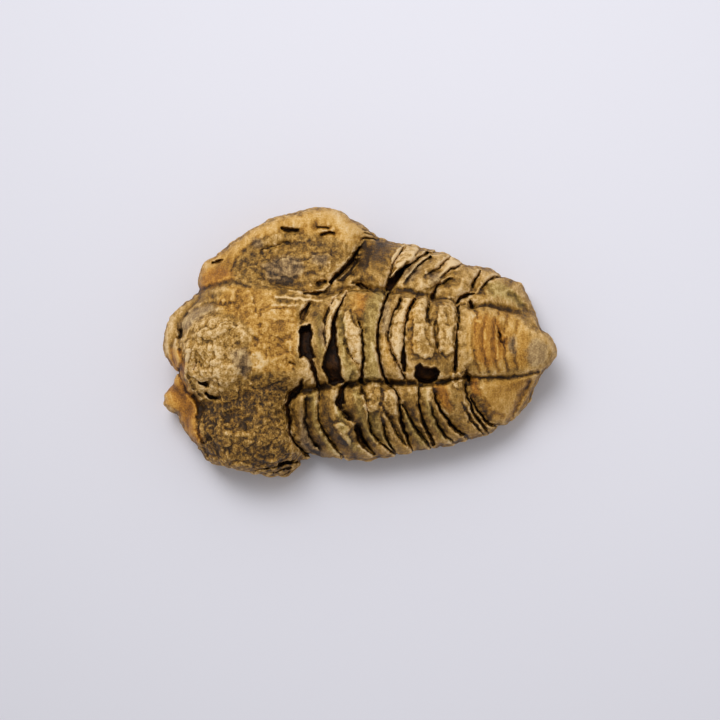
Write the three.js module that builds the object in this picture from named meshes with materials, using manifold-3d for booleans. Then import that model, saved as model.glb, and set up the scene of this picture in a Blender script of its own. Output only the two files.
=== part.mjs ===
// Trilobite fossil: one loose stone, a worn calymenid lying on its belly with its back uppermost.
// Millimetres, +Z up. +X runs along the body from head to tail, -Y is the near side and +Y the far side.
// The origin lies on the flat underside, below the middle of the body's axis.
import * as THREE from "three";
import { ParametricGeometry } from "three/addons/geometries/ParametricGeometry.js";
import { ImprovedNoise } from "three/addons/math/ImprovedNoise.js";
import { mergeVertices } from "three/addons/utils/BufferGeometryUtils.js";
import Module from "manifold-3d";

// Driving dimensions

// Cross-section of the trunk at stations along the axis
const STATION_X = [-24, -13, -8, 0, 10, 18, 24, 29, 33];
const CREST_HEIGHT = [14, 21.6, 22.6, 23.4, 22.8, 20.6, 17.4, 13.6, 9.4];
const FURROW_HEIGHT = [11, 17, 18, 18.6, 18.2, 16.6, 13.8, 10.6, 7.4];
const AXIS_HALF_WIDTH = [7, 8.6, 8.8, 8.8, 8.3, 7.3, 6.3, 5.2, 3.6];
const NEAR_HALF_WIDTH = [9, 17.4, 19.2, 19, 17.6, 15.3, 12.9, 9.4, 4.6];
const FAR_HALF_WIDTH = [9, 17.6, 20.8, 21.4, 19.6, 17.2, 15, 12, 5];
const EDGE_HEIGHT = [4.2, 4.2, 4.2, 3.8, 3.6, 3.6, 3.6, 3.8, 3.8];

// Front edges of the clefts between the thorax segments, on the crest and in the two furrows beside the axis
const CLEFT_CREST = [-11.2, -6.5, -5.2, 0.3, 3.2, 7.8, 10.3, 12.7, 15.1, 17.1, 19];
const CLEFT_NEAR = [-12.3, -7.6, -3.7, 0.4, 4.1, 7.1, 10, 13.2, 15.8, 18.3, 20.5];
const CLEFT_FAR = [-6.2, -2.7, -1.4, 1.4, 4.6, 8, 10.3, 12.8, 15.1, 17.8, 19.9];
const CLEFT_WIDTH = [2.2, 0.4, 1.1, 0.6, 0.7, 0.6, 0.4, 0.9, 0.4, 0.6, 0.4];
const CLEFT_DEPTH = [3.2, 1.2, 2.9, 2, 2.1, 1.9, 1.1, 1.8, 1.1, 1.6, 0.8];
const CLEFT_LIP = 0.25;
// How far each segment's ring stands above or below its neighbours
const RING_LIFT = [-0.3, -0.1, 0.3, -0.2, 0.4, 0.3, 0.1, 0.2, -0.1, 0];
// A segment has a low front band, a faint furrow and a high rear band
const SEGMENT_BANDS = [
  { share: 0.16, axis: 0.05, rib: 0.2 },
  { share: 0.4, axis: -0.12, rib: -0.3 },
  { share: 0.72, axis: 0.4, rib: 0.4 },
  { share: 1, axis: 0.1, rib: 0.1 },
];

// Rings that are fused on the tail shield's axis
const TAIL_RINGS = 6;
const TAIL_RINGS_SHARE = 0.75;
const TAIL_RING_RELIEF = 0.22;
const TAIL_END_X = 33.2;
const TAIL_TAPER_SECTIONS = 3;

// The ribs sweep towards the tail on the flanks
const NEAR_SWEEP = 5.3;
const FAR_SWEEP = 5;
const SWEEP_FADES_FROM = 20;
const SHOULDER_RISE = 0.5;
const SHOULDER_POWER = 1.8;
const FLANK_POWER = 1.65;
// Share of a segment's relief that is left in the furrow, and where it is whole again
const FURROW_RELIEF = 0.5;
const RELIEF_WHOLE_AT = 0.16;

// Underside: the rim turns in below the flank's edge and the foot stands on the ground
const RIM_SHARE = 0.92;
const RIM_HEIGHT_SHARE = 0.4;
const FOOT_SHARE = 0.76;
const FOOT_MIDDLE_SHARE = 0.3;
const TAIL_OVERHANG = 3.2;
const BELOW_GROUND = 1;

const AXIS_STEPS = 11;
const FLANK_STEPS = 8;

// Head: lumps of stone, each an ellipsoid that is turned about Z, roughened and fused to the rest
const FAR_CHEEK = { centre: [-11.6, 15, 7], radii: [16, 11.4, 11.6], turn: 17 };
const HEAD_LUMPS = [
  { centre: [-20, 0, 7.6], radii: [12.4, 16, 11.8], turn: 0 },
  { centre: [-24.4, -1.2, 12.6], radii: [9.2, 9.6, 8.6], turn: 0 },
  { centre: [-16, 0.4, 12.2], radii: [8.4, 11.6, 9.6], turn: 0 },
  { centre: [-20, 8, 9.8], radii: [9.4, 7, 8.4], turn: 0 },
  { centre: [-19.6, -13.4, 6.8], radii: [10.2, 9.4, 9.6], turn: -10 },
  { centre: [-28, 2, 6.4], radii: [6, 10, 7], turn: 0 },
  { centre: [-25.2, 12, 6.6], radii: [5.2, 6.2, 7.6], turn: 0 },
];
const LUMP_DETAIL = 4;
// Laminated shell edges that show below the cheeks, and the blunt end of the broken rim
const SMALL_LUMPS = [
  { centre: [-14.4, -20, 3.4], radii: [5.4, 2.6, 2.9], turn: -8 },
  { centre: [0.6, 20.4, 8.2], radii: [3.6, 2.4, 4], turn: -38 },
  { centre: [-32.8, -9.2, 6.4], radii: [2.7, 2.2, 2.8], turn: 0 },
];
const SMALL_LUMP_DETAIL = 3;

// Worn flat face on the far cheek: how far it lies from the cheek's middle, and which way it looks
const WORN_FACE_OFFSET = 9.6;
const WORN_FACE_NORMAL = [-0.1, 0.12, 1];

// Rounded rim round the front of the head, and the broken stretch of it on the near side
const FRONT_RIM = [
  [-26.6, 9, 10.8], [-30.6, 6.8, 10.4], [-33, 2.4, 9.6], [-32.2, -2.6, 9.2], [-28.4, -7, 8.6],
];
const FRONT_RIM_RADIUS = 2.7;
const NEAR_RIM = [[-33.6, -9, 6.4], [-31, -9.8, 6.6], [-29, -14.2, 6], [-26.6, -17.6, 5.2]];
const NEAR_RIM_RADIUS = 2.3;
const RIM_SIDES = 10;
const RIM_STEPS = 12;

// Blunt knob that ends the tail
const TAIL_KNOB = { centre: [31.6, -0.2, 7.8], radii: [4, 4, 4.4], turn: 0 };

// Worn stone: how far its surface wanders, and the size of the waves
const LUMP_WEAR = { depth: 0.9, grain: 4.6 };
const TRUNK_WEAR = { depth: 0.45, grain: 5.2 };
const KNOB_WEAR = { depth: 0.3, grain: 3 };

// Blocks for cutting are longer than the fossil, and vertices this close are one
const CUT_REACH = 120;
const MERGE_WITHIN = 1e-4;

const STONE = new THREE.MeshStandardMaterial({ color: 0x8f7040, roughness: 0.82, metalness: 0 });

const wasm = await Module();
wasm.setup();
const noise = new ImprovedNoise();

// A smooth curve of one size along the body, through its values at the stations
function along(values) {
  const curve = new THREE.CubicInterpolant(STATION_X, values, 1);
  const last = STATION_X[STATION_X.length - 1];
  return (x) => curve.evaluate(THREE.MathUtils.clamp(x, STATION_X[0], last))[0];
}

const crestHeight = along(CREST_HEIGHT);
const furrowHeight = along(FURROW_HEIGHT);
const axisHalfWidth = along(AXIS_HALF_WIDTH);
const nearHalfWidth = along(NEAR_HALF_WIDTH);
const farHalfWidth = along(FAR_HALF_WIDTH);
const edgeHeight = along(EDGE_HEIGHT);

// The closed solid of a geometry, with its shared vertices merged and empty triangles dropped
function solidOf(geometry) {
  const bare = geometry.clone();
  bare.deleteAttribute("normal");
  bare.deleteAttribute("uv");
  const merged = mergeVertices(bare, MERGE_WITHIN);
  const index = merged.index.array;
  const triangles = [];
  for (let i = 0; i < index.length; i += 3) {
    const [a, b, c] = [index[i], index[i + 1], index[i + 2]];
    if (a !== b && b !== c && c !== a) triangles.push(a, b, c);
  }
  const vertProperties = new Float32Array(merged.attributes.position.array);
  return new wasm.Manifold(new wasm.Mesh({ numProp: 3, vertProperties, triVerts: new Uint32Array(triangles) }));
}

// A solid back as a three.js geometry
function geometryOf(solid) {
  const mesh = solid.getMesh();
  const geometry = new THREE.BufferGeometry();
  geometry.setAttribute("position", new THREE.BufferAttribute(mesh.vertProperties, 3));
  geometry.setIndex(new THREE.BufferAttribute(mesh.triVerts, 1));
  geometry.computeVertexNormals();
  return geometry;
}

// How far the worn surface lies out or in at a point
function wearAt(point, { depth, grain }) {
  return depth * noise.noise(point.x / grain, point.y / grain, point.z / grain);
}

// Trunk: thorax and tail shield, lofted through cross-sections

// The sweep dies out over the tail shield, which narrows to its end
function sweepAt(x, side) {
  const fade = 1 - THREE.MathUtils.smoothstep(x, SWEEP_FADES_FROM, TAIL_END_X);
  return (side < 0 ? NEAR_SWEEP : FAR_SWEEP) * fade;
}

function outerHalfWidth(x, side) {
  return side < 0 ? nearHalfWidth(x) : farHalfWidth(x);
}

// One half of the back, from the furrow (share 0) to the flank's lower edge (share 1)
function flankPoint(station, side, share) {
  const x = side < 0 ? station.near : station.far;
  const inner = axisHalfWidth(x);
  const edge = edgeHeight(x);
  const shoulder = furrowHeight(x) + SHOULDER_RISE;
  const angle = (share * Math.PI) / 2;
  const across = Math.sin(angle) ** (2 / SHOULDER_POWER);
  const up = Math.max(Math.cos(angle), 0) ** (2 / FLANK_POWER);
  const whole = THREE.MathUtils.smoothstep(share, 0, RELIEF_WHOLE_AT);
  const point = new THREE.Vector3(
    x + sweepAt(x, side) * across ** 2,
    side * (inner + (outerHalfWidth(x, side) - inner) * across),
    edge + (shoulder - edge) * up,
  );
  const raised = station.rib * THREE.MathUtils.lerp(FURROW_RELIEF, 1, whole) + wearAt(point, TRUNK_WEAR);
  return point.add(new THREE.Vector3(0, side * Math.sin(angle), Math.cos(angle)).multiplyScalar(raised));
}

// The arched axis, from the near furrow (-1) to the far one (1)
function axisPoint(station, share) {
  const angle = (share * Math.PI) / 2;
  const arch = Math.cos(angle);
  const x = THREE.MathUtils.lerp(share < 0 ? station.near : station.far, station.crest, arch);
  const point = new THREE.Vector3(
    x,
    axisHalfWidth(x) * Math.sin(angle),
    furrowHeight(x) + (crestHeight(x) - furrowHeight(x)) * arch,
  );
  point.z += station.axis * THREE.MathUtils.lerp(FURROW_RELIEF, 1, arch) + wearAt(point, TRUNK_WEAR);
  return point;
}

// One side of the underside, from the flank's edge to the middle of the foot
function bellyPoints(station, side) {
  const x = side < 0 ? station.near : station.far;
  const outer = outerHalfWidth(x, side);
  const sweep = sweepAt(x, side);
  const back = TAIL_OVERHANG * THREE.MathUtils.smoothstep(x, SWEEP_FADES_FROM, TAIL_END_X);
  return [
    new THREE.Vector3(x + sweep, side * outer * RIM_SHARE, edgeHeight(x) * RIM_HEIGHT_SHARE),
    new THREE.Vector3(x + sweep * FOOT_SHARE - back, side * outer * FOOT_SHARE, -BELOW_GROUND),
    new THREE.Vector3(x - back, side * outer * FOOT_MIDDLE_SHARE, -BELOW_GROUND),
  ];
}

// One closed cross-section: near flank, axis, far flank and underside
function sectionAt(station) {
  const points = [];
  for (let i = FLANK_STEPS; i > 0; i--) points.push(flankPoint(station, -1, i / FLANK_STEPS));
  for (let i = 0; i < AXIS_STEPS; i++) points.push(axisPoint(station, (2 * i) / (AXIS_STEPS - 1) - 1));
  for (let i = 1; i <= FLANK_STEPS; i++) points.push(flankPoint(station, 1, i / FLANK_STEPS));
  return [...points, ...bellyPoints(station, 1), ...bellyPoints(station, -1).reverse()];
}

// Where a cleft's front edge crosses the crest and the furrows, moved back by a length
function cleftEdge(i, back = 0) {
  return { crest: CLEFT_CREST[i] + back, near: CLEFT_NEAR[i] + back, far: CLEFT_FAR[i] + back };
}

// The first whole stone behind a cleft
function behindCleft(i) {
  return cleftEdge(i, CLEFT_WIDTH[i] + CLEFT_LIP);
}

// The place at a share of the way between two others
function between(from, to, share) {
  const place = {};
  for (const key of ["crest", "near", "far"]) place[key] = THREE.MathUtils.lerp(from[key], to[key], share);
  return place;
}

// The two sections at the bottom of a cleft
function cleftSections(i) {
  const relief = { axis: -CLEFT_DEPTH[i], rib: -CLEFT_DEPTH[i] };
  return [{ ...cleftEdge(i), ...relief }, { ...cleftEdge(i, CLEFT_WIDTH[i]), ...relief }];
}

// The sections that shape the segment between a cleft and the next one
function segmentSections(i) {
  const front = behindCleft(i);
  const rear = cleftEdge(i + 1, -CLEFT_LIP);
  const bands = SEGMENT_BANDS.map(({ share, axis, rib }) => {
    return { ...between(front, rear, share), axis: axis + RING_LIFT[i], rib };
  });
  return [{ ...front, axis: RING_LIFT[i], rib: 0 }, ...bands];
}

// The tail shield's sections: low rings on its axis, then a plain taper
function tailSections() {
  const front = behindCleft(CLEFT_CREST.length - 1);
  const rear = { crest: TAIL_END_X, near: TAIL_END_X, far: TAIL_END_X };
  const sections = [];
  for (let i = 0; i < 2 * TAIL_RINGS; i++) {
    const axis = i % 2 ? TAIL_RING_RELIEF : -TAIL_RING_RELIEF;
    sections.push({ ...between(front, rear, (TAIL_RINGS_SHARE * i) / (2 * TAIL_RINGS)), axis, rib: 0 });
  }
  for (let i = 0; i < TAIL_TAPER_SECTIONS; i++) {
    const share = THREE.MathUtils.lerp(TAIL_RINGS_SHARE, 1, i / (TAIL_TAPER_SECTIONS - 1));
    sections.push({ ...between(front, rear, share), axis: 0, rib: 0 });
  }
  return sections;
}

// A closed loft: both ends are drawn in to a point inside the stone
function trunk() {
  const front = STATION_X[0];
  const neck = cleftEdge(0, -CLEFT_LIP);
  const stations = [
    { crest: front, near: front, far: front, axis: 0, rib: 0 },
    { ...neck, axis: -CLEFT_DEPTH[0], rib: 0 },
  ];
  CLEFT_CREST.forEach((_, i) => {
    stations.push(...cleftSections(i));
    if (i + 1 < CLEFT_CREST.length) stations.push(...segmentSections(i));
  });
  stations.push(...tailSections());
  const rings = stations.map(sectionAt);
  const middle = (ring) => ring.reduce((sum, p) => sum.add(p), new THREE.Vector3()).divideScalar(ring.length);
  const [first, last] = [rings[0], rings[rings.length - 1]].map(middle);
  const [slices, stacks] = [rings[0].length, rings.length + 1];
  const surface = (u, v, target) => {
    const row = Math.round(v * stacks);
    const column = Math.round((1 - u) * slices) % slices;
    if (row === 0) return target.copy(first);
    if (row === stacks) return target.copy(last);
    return target.copy(rings[row - 1][column]);
  };
  return solidOf(new ParametricGeometry(surface, slices, stacks));
}

// Head and tail pieces that are fused to the trunk

// A rough lump: an ellipsoid whose surface wanders in and out a little
function lump({ centre, radii, turn }, detail, wear = LUMP_WEAR) {
  const geometry = new THREE.IcosahedronGeometry(1, detail);
  geometry.scale(...radii);
  geometry.rotateZ(THREE.MathUtils.degToRad(turn));
  geometry.translate(...centre);
  const position = geometry.attributes.position;
  const middle = new THREE.Vector3(...centre);
  const point = new THREE.Vector3();
  for (let i = 0; i < position.count; i++) {
    point.fromBufferAttribute(position, i);
    const outward = point.clone().sub(middle).normalize();
    point.addScaledVector(outward, wearAt(point, wear));
    position.setXYZ(i, point.x, point.y, point.z);
  }
  return solidOf(geometry);
}

// A rounded rim that follows a curve
function rim(points, radius) {
  const path = new THREE.CatmullRomCurve3(points.map((p) => new THREE.Vector3(...p)));
  const section = new THREE.Shape(new THREE.Path().absarc(0, 0, radius, 0, 2 * Math.PI).getPoints(RIM_SIDES));
  return solidOf(new THREE.ExtrudeGeometry(section, { steps: RIM_STEPS, extrudePath: path, bevelEnabled: false }));
}

// Everything beyond a plane, as a block to cut away
function beyond(point, normal) {
  const block = new THREE.BoxGeometry(CUT_REACH, CUT_REACH, CUT_REACH);
  block.translate(0, 0, CUT_REACH / 2);
  block.applyQuaternion(new THREE.Quaternion().setFromUnitVectors(new THREE.Vector3(0, 0, 1), normal));
  block.translate(point.x, point.y, point.z);
  return solidOf(block);
}

// The far cheek, with its worn flat face
function farCheek() {
  const normal = new THREE.Vector3(...WORN_FACE_NORMAL).normalize();
  const face = new THREE.Vector3(...FAR_CHEEK.centre).addScaledVector(normal, WORN_FACE_OFFSET);
  return lump(FAR_CHEEK, LUMP_DETAIL).subtract(beyond(face, normal));
}

function fossil() {
  const pieces = [
    farCheek(),
    ...HEAD_LUMPS.map((shape) => lump(shape, LUMP_DETAIL)),
    ...SMALL_LUMPS.map((shape) => lump(shape, SMALL_LUMP_DETAIL)),
    lump(TAIL_KNOB, SMALL_LUMP_DETAIL, KNOB_WEAR),
    rim(FRONT_RIM, FRONT_RIM_RADIUS),
    rim(NEAR_RIM, NEAR_RIM_RADIUS),
  ];
  const whole = pieces.reduce((sum, piece) => sum.add(piece), trunk());
  return whole.subtract(beyond(new THREE.Vector3(), new THREE.Vector3(0, 0, -1)));
}

const part = new THREE.Group();
const mesh = new THREE.Mesh(geometryOf(fossil()), STONE);
mesh.name = "trilobite";
part.add(mesh);

export default part;
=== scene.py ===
"""Trilobite fossil: one worn stone with a lumpy head, a ribbed thorax and a rounded tail shield.

The stone is modelled as a field of distances on a voxel grid, in millimetres. A smooth body is made
first, then relief is cut and raised on it where the camera sees it: clefts, furrows, chips and pits.
"""

import bpy
import numpy as np
import openvdb
from mathutils import Matrix, Vector


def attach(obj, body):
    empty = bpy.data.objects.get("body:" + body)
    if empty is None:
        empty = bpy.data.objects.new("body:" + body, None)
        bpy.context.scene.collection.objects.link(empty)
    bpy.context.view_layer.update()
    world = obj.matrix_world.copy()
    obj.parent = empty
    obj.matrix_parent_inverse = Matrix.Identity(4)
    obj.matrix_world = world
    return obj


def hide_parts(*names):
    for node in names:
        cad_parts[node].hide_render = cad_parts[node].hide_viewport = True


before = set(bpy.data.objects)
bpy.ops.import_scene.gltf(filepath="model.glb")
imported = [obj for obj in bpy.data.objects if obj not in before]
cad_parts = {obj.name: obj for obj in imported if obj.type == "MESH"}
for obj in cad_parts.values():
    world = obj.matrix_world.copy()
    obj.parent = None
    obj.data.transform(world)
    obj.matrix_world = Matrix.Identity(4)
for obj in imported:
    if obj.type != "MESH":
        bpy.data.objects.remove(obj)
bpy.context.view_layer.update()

MM = 0.001
NODE = "trilobite"

# Camera: the picture is 720 pixels square, and one pixel is this many millimetres on the fossil's back
PICTURE = 720
PIXEL = 0.178
CAMERA_ELEVATION = np.radians(78)
CAMERA_DISTANCE = 400.0
CAMERA_TARGET = np.array([0, -4.65, 21.0])
CAMERA_BACK = np.array([0, -np.cos(CAMERA_ELEVATION), np.sin(CAMERA_ELEVATION)])
CAMERA_UP = np.array([0, np.sin(CAMERA_ELEVATION), np.cos(CAMERA_ELEVATION)])
CAMERA_PLACE = CAMERA_TARGET + CAMERA_DISTANCE * CAMERA_BACK

# Voxel grid of the whole stone: sizes in millimetres, and bands of true distance in voxels
VOXEL = 0.22
GRID_LOW = np.array([-39.0, -26.0, -1.5])
GRID_HIGH = np.array([38.5, 30.0, 27.0])
NARROW_BAND = 9
WIDE_BAND = 22
BACKGROUND = 3.0
DEEPEST = 4.3
MOST_TRIANGLES = 192000

# Trunk: sizes in millimetres at stations along the axis, near to the solid's
STATION_X = [-24, -13, -8, 0, 10, 18, 24, 29, 33]
CREST_HEIGHT = [14, 21.6, 22.6, 23.4, 22.8, 20.6, 17.4, 13.6, 9.4]
FURROW_HEIGHT = [11, 17, 18, 18.6, 18.2, 16.6, 13.8, 10.6, 7.4]
AXIS_HALF_WIDTH = [7, 8.6, 8.8, 8.8, 8.3, 7.3, 6.3, 5.2, 3.6]
NEAR_HALF_WIDTH = [9, 18.8, 20.7, 20.3, 18.7, 16.3, 14.6, 11.8, 7.6]
FAR_HALF_WIDTH = [9, 17.6, 20.8, 21.4, 19.8, 17.6, 16.4, 15.4, 11.6]
EDGE_HEIGHT = [4.2, 4.2, 4.2, 3.8, 3.6, 3.6, 3.6, 3.8, 3.8]
NEAR_SWEEP = 5.3
FAR_SWEEP = 5.0
SWEEP_FADES = (20, 33.2)
SWEEP_ROUNDS = 2
SHOULDER_RISE = 0.5
SHOULDER_WIDTH = 0.2
SHOULDER_POWER = 1.8
FLANK_POWER = 1.65
TAIL_ROUNDS_FROM = 31.8
TRUNK_FRONT = -25.0
END_SLOPE = 4
TAIL_FOOT = 29.0
TAIL_UNDERCUT = 1.3
FOOT_SHARES = (0.76, 1.02)
STATION_STEPS = 400
STATION_SMOOTHING = 24

# Head and tail lumps: centre, radii, turn about Z in degrees
FAR_CHEEK = ((-11.4, 15, 7), (16.4, 11.8, 11.6), 17)
WORN_FACE_OFFSET = 9.6
WORN_FACE_NORMAL = (-0.1, 0.12, 1)
LUMPS = [
    ((-20, 0, 7.6), (12.4, 16, 11.8), 0),
    ((-24.4, -1.2, 12.6), (9.2, 9.6, 8.6), 0),
    ((-16.4, 0.4, 12.2), (8, 11.6, 9.6), 0),
    ((-20, 8, 9.8), (9.4, 7, 8.4), 0),
    ((-20.2, -13.6, 6.8), (11.2, 9.8, 9.8), -10),
    ((-27.6, 1, 6), (7.4, 11, 7.2), 0),
    ((-28, -8, 4.8), (5.6, 6.4, 5.4), 0),
    ((-31.8, -10, 5), (4.6, 4.2, 4.6), 0),
    ((-25.2, 12, 6.6), (5.4, 6.4, 7.8), 0),
    ((-14.4, -20, 3.4), (5.4, 2.8, 3), -8),
    ((0.6, 20.6, 8.2), (3.8, 2.6, 4), -38),
    ((29.2, -0.2, 8.8), (7.2, 6.4, 6), 0),
]
LUMP_BLEND = 1.7
FRONT_RIM = [(-26.6, 9, 10.8), (-30.6, 6.8, 10.4), (-33.1, 2.4, 9.6), (-32.4, -2.6, 9.2), (-29, -7, 8.6)]
FRONT_RIM_RADIUS = 3.2
NEAR_RIM = [(-33.6, -9.4, 6.4), (-31.2, -10.4, 6.4), (-29.4, -14.4, 6), (-27, -17.8, 5.2)]
NEAR_RIM_RADIUS = 2.6
RIM_BLEND = 0.6
RIM_STEPS = 4
RIMS_END = -20.0

# Outline of the fossil in the picture, in pixels
OUTLINE = [
    (163, 340), (166, 322), (175, 310), (186, 302), (197, 295), (198, 282), (201, 270), (205, 262),
    (215, 256), (228, 247), (240, 238), (250, 230), (265, 222), (280, 217), (300, 212), (318, 207),
    (332, 206), (343, 210), (350, 218), (362, 224), (375, 234), (378, 239), (385, 238), (395, 243),
    (410, 243), (420, 248), (432, 249), (450, 255), (462, 263), (470, 266), (490, 269), (500, 275),
    (510, 281), (520, 284), (526, 293), (532, 305), (537, 318), (541, 330), (547, 333), (553, 339),
    (556, 347), (556, 355), (552, 364), (546, 370), (541, 375), (533, 390), (528, 400), (520, 412),
    (510, 424), (500, 426), (488, 435), (475, 437), (470, 440), (458, 441), (455, 445), (440, 446),
    (432, 450), (418, 450), (412, 454), (398, 454), (395, 457), (380, 457), (370, 460), (355, 458),
    (346, 463), (335, 458), (320, 465), (310, 461), (300, 460), (299, 466), (290, 475), (280, 478),
    (265, 476), (250, 471), (225, 465), (213, 465), (205, 460), (196, 445), (188, 438), (182, 425),
    (178, 412), (163, 405), (168, 385), (178, 372), (166, 355),
]
OUTLINE_STEPS = 2
OUTLINE_BLEND = 1.7
OUTLINE_GROWTH = 0.08
FOOT_BLEND = 1.2
BODY_SWELL = 0.5

# Clefts in the picture: depth in millimetres, then a course of (x, y, half width) in pixels
AXIS_CLEFTS = [
    (1.6, [(309, 303, 2), (304, 313, 3.5), (302, 318, 2.5)]),
    (2.8, [(310, 358, 2.2), (312, 364, 2.4), (315, 374, 2.4), (318.5, 386, 2.2)]),
    (1.0, [(326, 347, 1), (324.5, 334, 1), (324.5, 320, 1), (328, 310, 1), (334, 300, 1.2),
           (342, 292, 1.2)]),
    (2.6, [(346, 292, 1), (341, 303, 1.3), (336, 314, 2), (333.5, 325, 2.6), (333.5, 337, 3),
           (334, 348, 3.4)]),
    (2.2, [(358, 322, 0.8), (361.6, 330, 1), (362, 339, 1.2), (363, 349, 1.4), (363.5, 359, 1.6),
           (362.5, 368, 2.2), (361, 381, 3)]),
    (2.6, [(390, 292, 1.2), (385, 301, 1.6), (382, 311, 1.6), (379.4, 320, 1.6), (378, 330, 1.6),
           (377.5, 341, 1.6), (378, 352, 1.6), (379.4, 362, 1.6), (383, 372, 1.8), (387, 383, 2.2)]),
    (1.5, [(399.6, 300, 1), (399, 306, 1.2), (395, 311, 1.2), (392, 317, 1.2), (389.5, 326, 1.2),
           (388, 336, 1), (391, 352, 1.4), (395, 359, 1.5), (399, 366, 1.5), (405, 378, 1.8)]),
    (2.4, [(414, 300, 1), (410.5, 307, 1.2), (408, 315, 1.2), (405.5, 322, 1.2), (404.5, 331, 1.2),
           (404, 345, 1.3), (403.5, 353, 2.6), (403.5, 361, 3), (404, 370, 2)]),
    (1.6, [(428.5, 304, 1), (428, 312, 1.2), (428, 321, 1)]),
    (1.0, [(435, 324, 1), (436, 338, 1.3), (437, 348, 1.3), (440, 352, 1)]),
    (2.0, [(459, 306, 1), (458.5, 314, 1), (458, 326, 1), (456, 337, 1.2), (456.5, 345, 1.2),
           (455.5, 353, 2), (455.5, 361, 2.6), (455, 369, 2.2)]),
    (2.4, [(457, 302, 2), (461, 297, 2.4), (467, 294.5, 2.2), (473, 293.5, 1)]),
    (1.8, [(470, 302, 2), (472, 307, 2.4)]),
    (1.6, [(457.5, 307, 1.6), (458, 312, 1.6)]),
    (2.0, [(433, 297, 3.2), (436, 289, 1.8), (438, 284, 1)]),
    (1.2, [(466, 372, 2), (468, 380, 1.6)]),
    (1.3, [(498.5, 332, 1.2), (500, 337, 1.8), (501.5, 342, 1.2)]),
    (0.7, [(344.5, 344, 0.9), (348, 352, 1), (353, 359, 1), (359, 365, 1)]),
]
FLANK_CLEFTS = [
    (2.6, [(298, 388, 3), (291, 394, 3.4), (287, 405, 2.4), (288, 414, 2.2), (290, 424, 2.4),
           (289.6, 432, 2), (292, 440, 1.8), (298, 447, 1.5), (307, 454, 1.6), (317, 458, 1.6),
           (321, 461, 1.4)]),
    (1.3, [(318.4, 388, 1), (318.4, 408, 1), (317.6, 419, 1), (321, 426, 1.2), (325, 433, 1.5),
           (330, 441, 1.6), (337, 450, 1.7), (345, 461, 1.6)]),
    (0.7, [(306, 400, 2), (305, 420, 2), (309, 436, 1.6), (316, 446, 1.4)]),
    (2.2, [(346, 383, 2.4), (341, 393, 3), (338, 403, 4), (341, 408, 2)]),
    (1.3, [(344, 414, 3), (349, 419, 2)]),
    (2.4, [(356, 426, 2.4), (359, 434, 3.4), (364, 443, 3), (370, 450, 2), (374, 455, 1.4)]),
    (1.4, [(361.6, 390, 1), (365, 399, 1.2), (368, 412, 1), (369, 424, 1.2), (373, 434, 1.2),
           (380, 443, 1.2), (390, 451, 1.2), (396, 455, 1.2)]),
    (1.6, [(382.5, 424, 1.2), (385, 434, 1.5), (389, 444, 1.5), (397, 455, 1.3)]),
    (2.2, [(390.4, 386, 1.2), (395, 391, 1.3), (398.4, 398, 1.4), (399.5, 409, 1.8), (401, 421, 2.3),
           (404, 431, 2.2), (410, 445, 1.6), (413, 452, 1.3)]),
    (1.2, [(386, 414, 1), (391, 423, 1), (396, 433, 1), (404, 443, 1)]),
    (2.0, [(401.6, 405, 1), (408, 414, 1.4), (413, 424, 1.7), (419, 433, 1.9), (425, 441, 2),
           (432, 449, 1.6)]),
    (1.8, [(418.4, 388, 1), (419, 406, 1.4), (422, 420, 2), (427, 431, 2.2), (434, 444, 1.8)]),
    (1.6, [(431, 409, 1), (435, 419, 1.4), (440, 429, 1.5), (446, 437, 1.6), (455, 444, 1.4)]),
    (2.2, [(434, 394, 1), (437, 403, 1.6), (442, 412, 1.9), (450, 423, 2), (458, 431, 1.9),
           (469, 439, 1.4)]),
    (1.8, [(465, 386, 1), (467, 397, 1.4), (470.5, 403, 1.5), (473, 412, 1.5), (478, 420, 1.5),
           (486, 429, 1.5), (489, 434, 1.2)]),
    (1.0, [(465.6, 412, 1), (470.5, 421, 1.1), (477, 427, 1.1), (483, 434, 1.1)]),
    (1.8, [(470.4, 397, 1), (477, 409, 1.3), (483, 418, 1.6), (490, 424, 2), (499, 427, 1.6)]),
    (2.6, [(331, 283, 2), (337, 275.5, 2.4), (345, 267.5, 2.4), (352, 260, 2.4), (356, 253, 2),
           (360, 247, 1.4)]),
    (1.4, [(340, 279, 4), (349, 271, 4), (355, 261, 3)]),
    (1.8, [(357, 285, 2), (362, 286, 3.4), (367, 289, 2)]),
    (1.5, [(386, 289, 1.5), (393, 262, 1.1), (399, 254, 1.1), (405.5, 246, 1.1)]),
    (2.0, [(388, 285, 2.4), (392, 281, 3.4), (398, 274, 3.4), (405, 267, 2.4), (412, 262, 1)]),
    (1.3, [(406.6, 279, 1), (415.5, 269, 1.1), (423, 261.5, 1.1), (431, 256, 1.1)]),
    (1.5, [(412, 262, 1.1), (420.5, 256.6, 1.3), (428, 253, 1.4), (440, 253, 1.2)]),
    (1.2, [(430, 272, 1), (439.6, 267, 1.1), (444.6, 261.7, 1.1), (450, 257.5, 1.1)]),
    (1.5, [(444, 274, 1), (452, 268.7, 1.4), (459.8, 265, 1.4), (465, 263.5, 1.2)]),
    (1.3, [(436, 285, 1), (444.6, 282, 1.3), (449, 279, 1.1)]),
    (1.2, [(472, 286, 2), (475, 280, 2.2), (480, 271, 1.4)]),
    (1.5, [(481, 288, 1), (488, 281, 1.6), (493, 278, 1.7), (503, 277, 1.4)]),
]
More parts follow.
